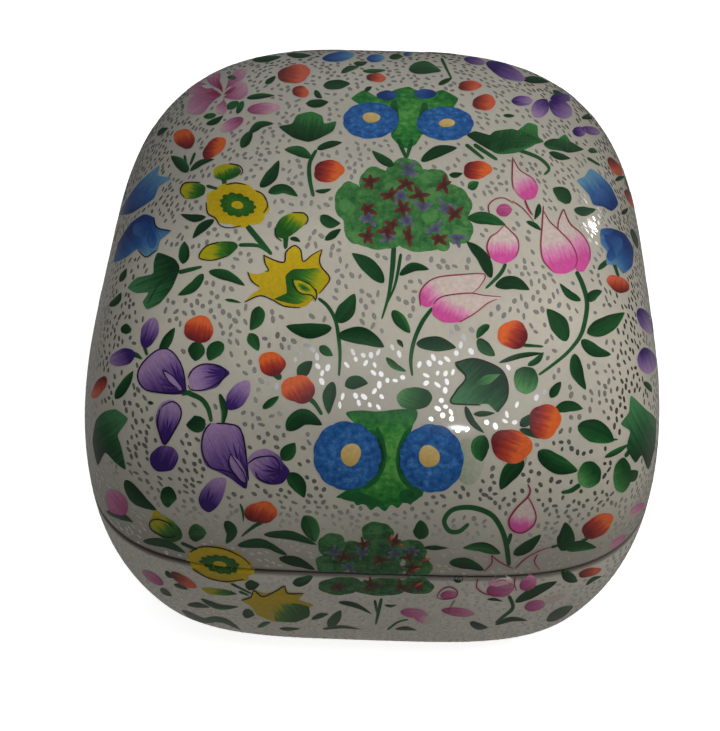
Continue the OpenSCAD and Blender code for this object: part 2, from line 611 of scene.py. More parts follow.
@dataclass(frozen=True)
class BlackPaint:
    """Satin black paint brushed over the bare pulp inside and under the foot."""

    name: str = "black_inside_paint"
    colour: str = "#191719"
    worn: str = "#2b2727"
    fibre_mm: float = 2.2
    roughness: float = 0.38
    bump: float = 0.15
    bump_mm: float = 0.2

    def material(self) -> Material:
        """The black paint, which shows the fibres of the pulp."""
        material, tree = new_tree(self.name)
        fibre = clouds(tree, object_place(tree), self.fibre_mm, 5.0)
        share = fade(tree, fibre, 0.45, 0.75, 0.0, 1.0, "LINEAR")
        colour = blend(tree, share, linear(self.colour), linear(self.worn))
        bump = add_node(tree, "Bump", {"Strength": self.bump, "Distance": self.bump_mm * MM,
                                       "Height": fibre})
        surface_out(tree, {"Base Color": colour, "Roughness": self.roughness, "Normal": bump})
        return material


@dataclass(frozen=True)
class SilverLeaf:
    """Dashes of silver paint under the lacquer: dark where the room is dark, bright before the window."""

    name: str = "silver_dash_paint"
    colour: str = "#e6e3dc"
    metallic: float = 1.0
    roughness: float = 0.22

    def material(self) -> Material:
        """The silver, of one plain colour."""
        material, tree = new_tree(self.name)
        surface_out(tree, {"Base Color": linear(self.colour), "Metallic": self.metallic,
                           "Roughness": self.roughness, **LACQUER.sockets()})
        return material


# The photo's view, and the painter's sheet in front of it

@dataclass(frozen=True)
class PhotoView:
    """Where the camera stands. The sheet is the plane through its target, square to its axis."""

    azimuth: float = math.radians(1.62)
    elevation: float = math.radians(47.38)
    roll: float = math.radians(0.51)
    target: tuple[float, float, float] = (-2.54, -3.41, 33.0)
    distance: float = 265.7
    focal_px: float = 1435.5
    image_px: float = 720.0
    sensor: float = 36.0

    def axes(self) -> tuple[np.ndarray, np.ndarray, np.ndarray]:
        """Unit vectors of the view: to the right, up, and back towards the camera."""
        a, e, r = self.azimuth, self.elevation, self.roll
        back = np.array([math.sin(a) * math.cos(e), -math.cos(a) * math.cos(e), math.sin(e)])
        right = np.cross(-back, [0, 0, 1.0])
        right /= np.linalg.norm(right)
        up = np.cross(right, -back)
        return math.cos(r) * right + math.sin(r) * up, math.cos(r) * up - math.sin(r) * right, back

    def eye(self) -> np.ndarray:
        """Place of the camera."""
        return np.array(self.target) + self.axes()[2] * self.distance


VIEW = PhotoView()
# Search for the surface along a ray: its reach about the target, its steps and its halvings
NEAR = -85.0
FAR = 85.0
SAMPLES = 60
HALVINGS = 22


def turned(points: np.ndarray, quarters: int) -> np.ndarray:
    """Points turned about the box's upright axis.

    Args:
        points: The points.
        quarters: Quarter turns, from the front to the right.

    Returns:
        The turned points.
    """
    c, s = ((1, 0), (0, 1), (-1, 0), (0, -1))[quarters % 4]
    x, y = points[..., 0], points[..., 1]
    return np.stack([c * x - s * y, s * x + c * y, points[..., 2]], axis=-1)


def onto_box(sheet: np.ndarray, inset: np.ndarray) -> np.ndarray:
    """Points of the box's surface that lie behind points of the sheet, seen from the camera.

    Args:
        sheet: Points of the sheet, to the right and up from its middle.
        inset: How far below the full size each point's surface lies.

    Returns:
        Points on the surface. Beside the box they lie on its nearest edge.
    """
    right, up, _ = VIEW.axes()
    eye = VIEW.eye()
    through = np.array(VIEW.target) + sheet[:, :1] * right + sheet[:, 1:] * up
    ray = through - eye
    ray /= np.linalg.norm(ray, axis=1, keepdims=True)
    depths = VIEW.distance + np.linspace(NEAR, FAR, SAMPLES)
    low = np.full(len(sheet), depths[0])
    high = np.full(len(sheet), depths[-1])
    found = np.zeros(len(sheet), bool)
    least = np.full(len(sheet), np.inf)
    nearest = low.copy()
    for before, depth in zip(depths[:-1], depths[1:]):
        value = outside(eye + depth * ray, inset)
        hit = ~found & (value < 0)
        low[hit], high[hit] = before, depth
        found |= hit
        closer = value < least
        least[closer], nearest[closer] = value[closer], depth
    for _ in range(HALVINGS):
        middle = (low + high) / 2
        inside = outside(eye + middle[:, None] * ray, inset) < 0
        high = np.where(inside, middle, high)
        low = np.where(inside, low, middle)
    points = eye + np.where(found, high, nearest)[:, None] * ray
    miss = ~found
    z = points[miss, 2]
    size = outline_size(points[miss, 0], points[miss, 1], FORM.square(z))
    points[miss, :2] *= (FORM.outer_half(z, inset[miss]) / size)[:, None]
    return points


def facing(points: np.ndarray) -> np.ndarray:
    """How much the surface faces the photo's camera.

    Args:
        points: Points on the surface.

    Returns:
        Cosine between the normal at each point and the way to the camera.
    """
    way = VIEW.eye() - points
    way /= np.linalg.norm(way, axis=1, keepdims=True)
    return (way * normals(points)).sum(1)


# Brush work

Knots = tuple[Pair, ...]
# Distance between points along a stroke, and the least of it
STEP_MM = 0.5
LEAST_STEP = 0.25
# Half width that a stroke or a swept surface ends in
THIN = 0.02
BRUSH_SEED = 11
# Rings of faces of a wash, and the share of its outline at which they begin
RINGS = 8
PINHOLE = 0.001
# Unevenness of the brush: waves along a stroke, and their share of its width
WAVES = ((5, 0.05), (13, 0.03))
TONE_SHIFT = 0.08
TEXTURE_SHIFT = 40
# Width of a face across a stroke
FACE_MM = 1.1
LEAF_BEND = 0.12
LEAF_SPREAD = 1.06


class Touch(Enum):
    """How the width of a stroke runs from its start to its tip, as (skew, fullness)."""

    LEAF = (0.8, 0.72)
    PETAL = (1.7, 0.75)
    DROP = (1.0, 0.55)
    LINE = (1.0, 0.12)
    SLIVER = (1.0, 1.1)

    def width(self, t: np.ndarray) -> np.ndarray:
        """Share of the full width at the shares t of the stroke's length: sin(pi t^skew)^fullness."""
        skew, full = self.value
        return np.maximum(np.sin(math.pi * t**skew), 0) ** full


class Group(Enum):
    """Kinds of motif. Each kind is one piece on the lid and one on the base."""

    LEAVES = "leaf_sprays"
    STEMS = "stems"
    BUDS = "orange_buds"
    YELLOW = "yellow_flowers"
    PINK = "rose_flowers"
    IRIS = "violet_irises"
    BELLS = "bluebells"
    DISCS = "blue_discs"
    BUSHES = "flowering_bushes"
    IVY = "ivy_leaves"


@dataclass
class Patch:
    """A film of one paint on the sheet, as a grid of points with brush coordinates."""

    points: np.ndarray
    quads: np.ndarray
    paint: np.ndarray
    pigment: Paint
    layer: int
    group: Group


def curve(knots: Knots, closed: bool = False, soft: float = 1.0, step: float = STEP_MM) -> np.ndarray:
    """Points along a Hermite curve through knots, evenly about a step apart.

    Args:
        knots: Points that the curve passes through.
        closed: Whether the last knot joins the first.
        soft: Length of the tangents, from 0 for straight pieces to 1 for a round curve.
        step: Distance between points.

    Returns:
        The points, without the last knot where it joins the first.
    """
    p = np.asarray(knots, float)
    if closed:
        before, after = np.roll(p, 1, 0), np.roll(p, -1, 0)
        ends = after
    else:
        before, after = np.vstack([p[:1], p[:-1]]), np.vstack([p[1:], p[-1:]])
        ends = after[:-1]
    tangent = soft * (after - before) / 2
    starts = p if closed else p[:-1]
    begin = tangent if closed else tangent[:-1]
    finish = np.roll(tangent, -1, 0) if closed else tangent[1:]
    pieces = []
    for a, b, ta, tb in zip(starts, ends, begin, finish):
        count = max(2, math.ceil(np.linalg.norm(b - a) / step))
        t = np.linspace(0, 1, count, endpoint=False)[:, None]
        pieces.append((2 * t**3 - 3 * t**2 + 1) * a + (t**3 - 2 * t**2 + t) * ta
                      + (3 * t**2 - 2 * t**3) * b + (t**3 - t**2) * tb)
    if not closed:
        pieces.append(p[-1:])
    return np.vstack(pieces)


class Painter:
    """Lays strokes and washes on the sheet, one patch each."""

    def __init__(self) -> None:
        self.patches: list[Patch] = []
        self.random = np.random.default_rng(BRUSH_SEED)

    def stroke(self, group: Group, pigment: Paint, layer: int, knots: Knots, width: float,
               touch: Touch = Touch.LEAF, tone: Pair = (0.0, 1.0),
               soft: float = 1.0, taper: float = 1.0, side_tone: float = 0.0) -> None:
        """One stroke of the brush along a line.

        Args:
            group: Kind of motif it belongs to.
            pigment: Its paint.
            layer: Its place in the order of films, from 1 to 7.
            knots: Line that the brush follows, from its start to its tip.
            width: Greatest width.
            touch: How the width runs.
            tone: Tones at the start and the tip, 0 deep and 1 light.
            soft: How round the line is.
            taper: Width at the tip as a share of the width at the start.
            side_tone: How much lighter the stroke grows from its middle to its left edge.
        """
        line = curve(knots, soft=soft, step=min(STEP_MM, max(LEAST_STEP, width)))
        lengths = np.concatenate([[0], np.cumsum(np.linalg.norm(np.diff(line, axis=0), axis=1))])
        t = lengths / lengths[-1]
        slope = np.gradient(line, lengths, axis=0)
        slope /= np.linalg.norm(slope, axis=1, keepdims=True)
        side = np.stack([-slope[:, 1], slope[:, 0]], axis=1)
        phase = self.random.uniform(0, 2 * math.pi, 2)
        wobble = 1.0
        for (wave, share), start in zip(WAVES, phase):
            wobble = wobble + share * np.sin(wave * t + start)
        half = np.maximum(width / 2 * touch.width(t) * (1 + (taper - 1) * t) * wobble, THIN)
        columns = max(3, 2 * math.ceil(width / FACE_MM) + 1)
        across = np.linspace(-1, 1, columns)
        points = line[:, None, :] + side[:, None, :] * (half[:, None] * across)[..., None]
        shift = self.random.uniform(-TONE_SHIFT, TONE_SHIFT)
        u = (tone[0] + (tone[1] - tone[0]) * t + shift)[:, None] + side_tone * across
        v = half[:, None] * across / ACROSS_MM + self.random.uniform(0, TEXTURE_SHIFT)
        self.patches.append(Patch(points.reshape(-1, 2), grid_quads(len(line), columns),
                                  np.stack([u, v], axis=2).reshape(-1, 2), pigment, layer, group))

    def wash(self, group: Group, pigment: Paint, layer: int, knots: Knots, soft: float = 0.8,
             light: Pair | None = None, centre: Pair | None = None,
             tone: Pair = (0.0, 1.0)) -> None:
        """A filled outline, shaded across it or from its middle out.

        Args:
            group: Kind of motif it belongs to.
            pigment: Its paint.
            layer: Its place in the order of films.
            knots: Outline, once round.
            soft: How round the outline is between its knots.
            light: Direction in which the tone grows light. None shades from the middle out.
            centre: Point that sees the whole outline. None takes the mean of the knots.
            tone: Tones at the deep and the light end.
        """
        edge = curve(knots, closed=True, soft=soft)
        middle = np.asarray(centre if centre is not None else edge.mean(0), float)
        share = np.linspace(PINHOLE, 1, RINGS + 1)
        points = middle + share[:, None, None] * (edge - middle)[None]
        reach = points - middle
        if light is None:
            u = np.broadcast_to(share[:, None], points.shape[:2])
            round_mm = np.linspace(0, 1, len(edge))[None, :] * len(edge) * STEP_MM
            v = np.broadcast_to(round_mm / ACROSS_MM, u.shape)
        else:
            way = np.asarray(light, float) / np.linalg.norm(light)
            u = reach @ way
            u = (u - u.min()) / (u.max() - u.min())
            v = reach @ np.array([-way[1], way[0]]) / ACROSS_MM
        u = tone[0] + (tone[1] - tone[0]) * u
        v = v + self.random.uniform(0, TEXTURE_SHIFT)
        self.patches.append(Patch(points.reshape(-1, 2), grid_quads(RINGS + 1, len(edge), True),
                                  np.stack([u, v], axis=2).reshape(-1, 2), pigment, layer, group))

    def leaf(self, x0: float, y0: float, x1: float, y1: float, width: float,
             bend: float | None = None) -> None:
        """A leaf of one stroke.

        Args:
            x0, y0: Its stalk.
            x1, y1: Its tip.
            width: Greatest width before the brush spreads.
            bend: Its sagitta as a share of its length. None bends it a little either way.
        """
        if bend is None:
            bend = self.random.uniform(-LEAF_BEND, LEAF_BEND)
        middle = ((x0 + x1) / 2 - bend * (y1 - y0), (y0 + y1) / 2 + bend * (x1 - x0))
        base = self.random.uniform(0.1, 0.45)
        side_tone = self.random.choice([-1, 1]) * self.random.uniform(0.1, 0.32)
        self.stroke(Group.LEAVES, Paint.LEAF, 2, ((x0, y0), middle, (x1, y1)), LEAF_SPREAD * width,
                    Touch.LEAF, (base, base + self.random.uniform(-0.1, 0.3)), side_tone=side_tone)

    def oval(self, group: Group, paint: Paint, layer: int, x: float, y: float, width: float,
             height: float, turn: float = 0.0, light: Pair | None = (0, 1),
             wobble: float = 0.05, tone: Pair = (0.0, 1.0), lobes: int = 0,
             depth: float = 0.0) -> None:
        """A filled oval with an uneven or lobed edge.

        Args:
            group: Kind of motif it belongs to.
            paint: Its paint.
            layer: Its place in the order of films.
            x, y: Its middle.
            width, height: Its size before it is turned.
            turn: Degrees it is turned by, to the left.
            light: Direction in which the tone grows light. None shades from the middle out.
            wobble: Unevenness of the edge as a share of the radius.
            tone: Tones at the deep and the light end.
            lobes: Number of lobes, or 0 for a plain edge.
            depth: Depth of the lobes as a share of the radius.
        """
        count = max(14, 6 * lobes)
        angle = np.linspace(0, 2 * math.pi, count, endpoint=False)
        phase = self.random.uniform(0, 2 * math.pi, 2)
        radius = 1 + wobble * (np.sin(2 * angle + phase[0]) + 0.6 * np.sin(3 * angle + phase[1]))
        if lobes:
            radius += depth * (np.abs(np.cos(lobes * angle / 2)) - 0.6)
        c, s = math.cos(math.radians(turn)), math.sin(math.radians(turn))
        px, py = width / 2 * radius * np.cos(angle), height / 2 * radius * np.sin(angle)
        knots = tuple(zip(x + c * px - s * py, y + s * px + c * py))
        self.wash(group, paint, layer, knots, 1.0, light, (x, y), tone)


# Motifs

@dataclass(frozen=True)
class Bud:
    """A round bud of orange or red, deep on its dark side."""

    x: float
    y: float
    width: float
    height: float
    dark: Pair = (0.0, -1.0)
    turn: float = 0.0
    paint: Paint = Paint.ORANGE

    def draw(self, painter: Painter) -> None:
        """Paints the bud."""
        light = (-self.dark[0], -self.dark[1])
        painter.oval(Group.BUDS, self.paint, 3, self.x, self.y, self.width, self.height, self.turn,
                     light, wobble=0.07, lobes=5, depth=0.06)


@dataclass(frozen=True)
class BlueDisc:
    """A round blue flower of dabbed petals with a cream eye."""

    x: float
    y: float
    width: float
    height: float
    eye_x: float
    eye_y: float
    eye_width: float
    eye_height: float
    lobes: int = 11

    def draw(self, painter: Painter) -> None:
        """Paints the disc and its eye."""
        painter.oval(Group.DISCS, Paint.BLUE, 3, self.x, self.y, self.width, self.height, 0, None,
                     0.012, (0.56, 0.42), self.lobes, 0.03)
        painter.oval(Group.DISCS, Paint.EYE, 5, self.eye_x, self.eye_y, self.eye_width, self.eye_height,
                     0, (0.3, 1), 0.06)


@dataclass(frozen=True)
class Daisy:
    """A yellow daisy: lobed petals, a ring of sap green and a yellow eye."""

    x: float
    y: float
    width: float
    height: float
    turn: float = 0.0
    lobes: int = 9

    def draw(self, painter: Painter) -> None:
        """Paints the flower."""
        rings = ((Paint.YELLOW, 3, 1, 1, 0.02, (0.35, 0.9), self.lobes, 0.1),
                 (Paint.OLIVE, 4, 0.58, 0.52, 0.06, (0.5, 0.2), 13, 0.14),
                 (Paint.YELLOW, 5, 0.2, 0.17, 0.05, (0.6, 0.9), 0, 0))
        for paint, layer, wide, high, wobble, tone, lobes, depth in rings:
            painter.oval(Group.YELLOW, paint, layer, self.x, self.y, wide * self.width,
                         high * self.height, self.turn, None, wobble, tone, lobes, depth)


@dataclass(frozen=True)
class Petal:
    """A petal of one loaded stroke: deep at its base and light at its tip, or the other way."""

    group: Group
    paint: Paint
    knots: Knots
    width: float
    tone: Pair = (0.0, 1.0)
    touch: Touch = Touch.DROP
    layer: int = 3

    def draw(self, painter: Painter) -> None:
        """Paints the petal."""
        painter.stroke(self.group, self.paint, self.layer, self.knots, self.width, self.touch, self.tone)


@dataclass(frozen=True)
class Bloom:
    """A filled outline shaded in one direction."""

    group: Group
    paint: Paint
    knots: Knots
    light: Pair | None = (0.0, 1.0)
    layer: int = 3
    soft: float = 0.8
    centre: Pair | None = None
    tone: Pair = (0.0, 1.0)

    def draw(self, painter: Painter) -> None:
        """Paints the bloom."""
        painter.wash(self.group, self.paint, self.layer, self.knots, self.soft, self.light,
                     self.centre, self.tone)


@dataclass(frozen=True)
class Line:
    """An outline or a stalk."""

    group: Group
    paint: Paint
    knots: Knots
    width: float = 0.28
    layer: int = 7
    taper: float = 0.8

    def draw(self, painter: Painter) -> None:
        """Paints the line."""
        painter.stroke(self.group, self.paint, self.layer, self.knots, self.width, Touch.LINE,
                       (0.3, 0.7), taper=self.taper)


@dataclass(frozen=True)
class Bush:
    """A flowering bush: green dabs, paler ones on them, then stars of mauve and brown twigs.

    Dabs are middles and sizes, red strokes are ends, and all else are middles.
    """

    dabs: tuple[tuple[float, float, float, float], ...]
    pale: tuple[Pair, ...]
    brown: tuple[Pair, ...]
    mauve: tuple[Pair, ...]
    red: tuple[tuple[float, float, float, float], ...] = ()
    squash: float = 1.0
    paint: Paint = Paint.BUSH
    twig: float = 0.85

    def draw(self, painter: Painter) -> None:
        """Paints the bush."""
        for x, y, width, height in self.dabs:
            painter.oval(Group.BUSHES, self.paint, 1, x, y, width, height, 0, None, 0.06,
                         (0.4, 0.62), 7, 0.06)
        for x, y in self.pale:
            painter.oval(Group.BUSHES, self.paint, 2, x, y, PALE_DAB[0], PALE_DAB[1] * self.squash, 0,
                         None, 0.1, (0.85, 0.6))
        for paint, spots, layer in ((Paint.MAUVE, self.mauve, 3), (Paint.BROWN, self.brown, 4)):
            for x, y in spots:
                first = painter.random.uniform(0, 2 * math.pi)
                for k in range(TWIGS):
                    way = first + (k + painter.random.uniform(-0.3, 0.3)) * 2 * math.pi / TWIGS
                    reach = painter.random.uniform(*TWIG_REACH)
                    start, end = ((x + r * math.cos(way), y + r * math.sin(way) * self.squash)
                                  for r in (-TWIG_BACK, reach))
                    painter.stroke(Group.BUSHES, paint, layer, (start, end), self.twig, Touch.DROP)
        for x0, y0, x1, y1 in self.red:
            painter.stroke(Group.BUSHES, Paint.RED, 5, ((x0, y0), (x1, y1)), 0.5, Touch.SLIVER)


# A star of twigs: how many, how far they reach, and how far they begin behind its middle
TWIGS = 5
TWIG_REACH = (1.1, 2.4)
TWIG_BACK = 0.3
PALE_DAB = (3.4, 2.8)


def stem(*knots: Pair, width: float = 0.8, taper: float = 0.7) -> Line:
    """A green stalk."""
    return Line(Group.STEMS, Paint.STEM, knots, width, 1, taper)


def ink(*knots: Pair) -> Line:
    """A black outline of a yellow flower."""
    return Line(Group.YELLOW, Paint.INK, knots, 0.26)


def rose_line(*knots: Pair, width: float = 0.26) -> Line:
    """A crimson outline."""
    return Line(Group.PINK, Paint.CRIMSON, knots, width)


def iris_line(*knots: Pair, width: float = 0.3) -> Line:
    """A dark violet outline."""
    return Line(Group.IRIS, Paint.DARK_VIOLET, knots, width)


def hairs(start: Pair, ends: Knots) -> tuple[Petal, ...]:
    """Dark hair strokes that run out over an iris petal from the throat of its flower."""
    return tuple(violet_petal((start, end), 0.42, (0.0, 0.3), Touch.SLIVER, 4) for end in ends)


# Petals and filled outlines of one kind of motif, each in one paint
olive_bloom = partial(Bloom, Group.YELLOW, Paint.OLIVE)
yellow_bloom = partial(Bloom, Group.YELLOW, Paint.YELLOW)
old_rose_petal = partial(Petal, Group.PINK, Paint.OLD_ROSE)
crimson_hair = partial(Petal, Group.PINK, Paint.CRIMSON, tone=(0.2, 0.9), touch=Touch.SLIVER, layer=5)
bract = partial(Petal, Group.PINK, Paint.SHADE, tone=(0.5, 1))
rose_petal = partial(Petal, Group.PINK, Paint.PINK)
deep_petal = partial(Petal, Group.PINK, Paint.PINK_DEEP)
rose_bloom = partial(Bloom, Group.PINK, Paint.PINK)
violet_petal = partial(Petal, Group.IRIS, Paint.VIOLET)
violet_bloom = partial(Bloom, Group.IRIS, Paint.VIOLET)
bell = partial(Bloom, Group.BELLS, Paint.BELL)
bell_petal = partial(Petal, Group.BELLS, Paint.BELL)
navy_petal = partial(Petal, Group.BELLS, Paint.NAVY, touch=Touch.PETAL, layer=4)
backing = partial(Bloom, Group.DISCS, Paint.BACKING)
backing_shade = partial(Bloom, Group.DISCS, Paint.SHADE)
thin_wash = partial(Bloom, Group.DISCS, Paint.THIN_GREEN)
ivy = partial(Bloom, Group.IVY, Paint.IVY)
lobed_leaf = partial(Bloom, Group.IVY, Paint.LEAF)
pod = partial(Bloom, Group.IVY, Paint.POD)
ivy_vein = partial(Line, Group.IVY, Paint.SHADE, width=0.3, layer=3)

# Leaves of the sheet: start, tip, greatest width, and where it matters the bend to the left
LEAVES = (
    # far left
    (-28.5, 44.7, -25.3, 46.3, 1), (-21, 49.5, -15.8, 50, 1), (-22, 40.3, -20, 43.5, 1.8),
    (-20.5, 43, -16, 44.8, 1.3, 0.15), (-37.5, 42.5, -35.5, 44, 0.9), (-31.8, 35.8, -35, 38.8, 2),
    (-31.5, 36, -27, 38.2, 1, 0.1),
    # round the yellow flowers
    (-28.5, 27.5, -33.2, 28, 1.3, 0.1), (-27, 27, -31, 23.5, 1.5), (-18.5, 33, -15, 38, 2, -0.08),
    (-17, 32, -11.5, 31.3, 1.8, 0.2), (-32.8, 18.8, -32.5, 23, 2), (-13, 23.5, -11, 22.9, 0.8),
    (-4.3, 8, -1, 13.3, 3, -0.05), (-5.2, 7, -13.7, 7.3, 2.7), (-4.1, 5.5, 4.5, 3.4, 3, 0.12),
    (-7.5, 3.6, -5, 1.8, 1.6),
    # beside the ivy on the left
    (-29, 17, -33.7, 13, 1.8, 0.1), (-28, 17.4, -21.3, 14.8, 1.8), (-25, 12.2, -22, 11.6, 0.6),
    (-44.5, 15.5, -43.2, 18, 1), (-46.5, 11, -44.2, 13.5, 1.2), (-18.7, 11, -20.3, 6.5, 2.5, 0.1),
    (-20.5, 6, -18.8, 2.7, 2),
    # far middle
    (-3.5, 54.2, -0.2, 55.3, 1), (0.5, 54.5, 4.8, 54.7, 0.8), (-6.8, 51.8, -1.8, 52.2, 1.8),
    (0.8, 50.8, 2.2, 51.6, 0.8), (9, 54.8, 15, 54.5, 2.2), (14.5, 52, 17, 53.2, 0.9),
    (-8.3, 51, -7, 49.5, 1), (-10, 48.5, -5.8, 48.8, 1.5), (-9, 38.5, -14, 40, 1.8),
    (-8, 40, -3.3, 41.3, 1.3), (-8.3, 32.3, -5.3, 32.7, 0.8), (-7.3, 27.8, -3.6, 26.3, 2, -0.15),
    (-6.5, 23.2, -3.5, 25.3, 1.3), (6.3, 37, 2.2, 39.8, 1.6), (11.3, 37.8, 18, 40.3, 2),
    (-20, 56.6, -14.6, 57.2, 1.1), (-13.6, 57.6, -9, 57.4, 0.9), (5.4, 57, 8, 57.2, 1),
    (-1.2, 56, 1.4, 56.2, 0.9), (47.2, 34.2, 49, 35, 0.8), (48.4, 28, 49.6, 29.2, 0.8),
    (50.2, 25.4, 51.4, 21.6, 1), (-17.6, 52.2, -15.6, 53.6, 1),
    # under the far bush
    (4.4, 15.3, -1.5, 20.8, 2.6, -0.05), (7.3, 16.7, 12.8, 17.8, 1.6, 0.18), (6, 10.2, 9.3, 6, 2.2),
    (6.8, 4.8, 8, 3.3, 0.8), (4.8, 1.5, 8.6, -1.1, 1.2),
    # far right
    (30, 53, 35, 52.5, 1.2), (35.7, 51, 39, 49, 1.2), (41, 45.8, 44, 46, 1), (20, 32.8, 22, 34, 1.6),
    (16.5, 35.3, 19, 35.6, 1), (26.5, 46.3, 28.6, 46.2, 0.7), (35, 39.5, 39, 38.3, 1.2),
    (42.2, 39.8, 44, 39.5, 1), (34, 41, 41, 40, 2.2), (24, 40.2, 33, 41.5, 4.2),
    # round the rose tulips
    (19.8, 27.3, 27, 26, 2.1, 0.08), (33.2, 30, 32.3, 27, 1), (30.8, 26.7, 33.6, 25, 0.9),
    (38.8, 30, 35.7, 32.8, 2.5), (39.6, 28.9, 43.7, 28.9, 1.6), (40.9, 12, 37, 15.2, 1.3),
    (42.2, 11.8, 44.8, 13.8, 1.8), (42, 6, 49, 9.8, 3, -0.05), (38.2, 4.5, 34.6, 10.5, 3, -0.06),
    (41, 4.8, 46.5, 2, 2.2), (39.7, 2.2, 41.8, -4.5, 2.2), (24.3, 16.2, 19.7, 23, 2.2, -0.1),
    (25, 14.7, 31.4, 14, 2.3, 0.16), (10.4, 4, 17.8, 3.3, 2.6, 0.05), (44, 17.7, 46.5, 19.8, 1),
    # left middle
    (-30.2, 4.5, -30.5, 0.8, 3), (-25.2, 4, -28, 0.9, 2.8), (-42.5, 2.3, -40.3, 1.2, 0.9),
    (-37, 2.2, -34.3, 7, 1.8), (-26, -5.2, -25.6, -11.5, 1.2), (-28.7, -10, -32.2, -11, 2.9),
    (-45.3, -6.2, -42, -1, 1.8), (-39.3, -6.7, -38.2, -7, 0.7), (-18, -8, -15, -5.7, 1.4),
    (-11.3, -2.3, -8.8, 0.8, 2.2), (-5, -3, -5.8, -9, 2.2, -0.06), (-2.8, -3.8, 1.5, -3.3, 2.3, 0.12),
    (-13.6, -12, -7, -11, 3, 0.3), (-43.3, 5.8, -43.2, 7.8, 2),
    # right middle
    (19.5, -7.5, 23, -12.5, 1.2), (21, -9, 25, -8.8, 1), (24, 7.5, 21.6, 5, 1.5),
    (21.8, 5, 25, 1.8, 2.2), (25.7, 0.5, 34, 2.3, 1, 0.05), (31, 0, 34, 2.5, 1.2),
    (35.3, -6, 37.2, -3, 1.7), (29.5, -11.8, 33.5, -13.5, 1.3), (36, -8.3, 41.3, -8, 2, 0.12),
    (40.3, -11.2, 47, -14, 4, 0.05), (23, -12.9, 22.5, -17.8, 3.3),
    (33, -15.8, 40.3, -19.5, 3.5, -0.08), (30.3, -17.5, 26, -23, 3, -0.08), (45.3, -17, 49.8, -14.5, 1),
    (49.5, -21.5, 51.5, -19.5, 2), (52.5, -3, 54, -5, 1), (29.6, -11.2, 31.6, -9, 1.7),
    # lower left of the lid
    (-43.5, -21.2, -37.7, -26.8, 2.3, -0.1), (-25, -28.8, -24.8, -33, 2, 0.28),
    (-22.2, -25.5, -21.6, -29, 0.5), (-22.7, -33.3, -14, -34.7, 1.6, 0.12),
    (-17.8, -31.3, -8, -33.2, 1.6, 0.08), (-40.2, -32.5, -32.3, -34.7, 1.5, 0.08),
    (-14.5, -17.5, -12, -14.3, 2.5), (-13.5, -20, -10.3, -24.5, 2.6, 0.1),
    (-10.4, -27.8, -8.2, -32.7, 3, 0.05), (-17, -33.5, -13.5, -35.1, 1), (-15, -35.7, -8.3, -37.8, 1.7),
    (-12.5, -40.3, -8.7, -39, 1.7), (-47, -27, -42, -29, 1.2), (-37, -24.5, -33.9, -24.6, 3.6),
    (-31.8, -31, -28.4, -31, 3.2),
    # lower right of the lid
    (11, -32.2, 11.1, -28.6, 2.8), (11.8, -33.7, 16.3, -33.8, 0.8), (16.5, -36.5, 23, -37.9, 2, 0.08),
    (17.3, -39.8, 19.5, -39, 1.1), (28.4, -35, 33.5, -31.3, 2), (26, -34.8, 19, -33.8, 1.7, -0.1),
    (38, -34, 43.8, -33.7, 1.9, 0.08), (37.2, -34.3, 38, -29, 3),
    # base
    (-36, -38, -34.5, -39.3, 0.9), (-34.5, -40.5, -31.8, -41.5, 0.8), (-37, -41.3, -34.8, -42.7, 1),
    (-32, -44.3, -27.8, -44.8, 0.9), (-33, -45.3, -27, -47.6, 1), (-29, -47, -22, -49, 1),
    (-29.5, -43.2, -22.5, -44.7, 1), (-21.3, -40.4, -18.6, -40.5, 1.8), (-21.8, -46, -19.5, -46.2, 1.7),
    (-19, -48.5, -16.5, -47.5, 0.8), (-4, -43.8, 2.2, -46, 0.9), (4.5, -44.3, 6.8, -44.3, 0.5),
    (-9, -47, -5.8, -46, 0.9), (-6, -48.3, -3.5, -45.3, 1.9), (-15, -48.7, -11, -48.7, 0.6),
    (-7, -48.8, 0, -48.8, 0.6), (6.5, -48.8, 10.5, -49, 0.7), (28.7, -43.8, 36.5, -40, 1.8),
    (23.5, -43.3, 26.5, -43.7, 0.5), (37.3, -38.5, 40.3, -40, 1.8), (41.8, -40.7, 44.8, -39, 0.7),
    (34.5, -47.3, 39.5, -44.5, 1.8), (20.3, -47.5, 23.7, -48.5, 1.3), (25, -48, 31, -47.2, 0.9),
)

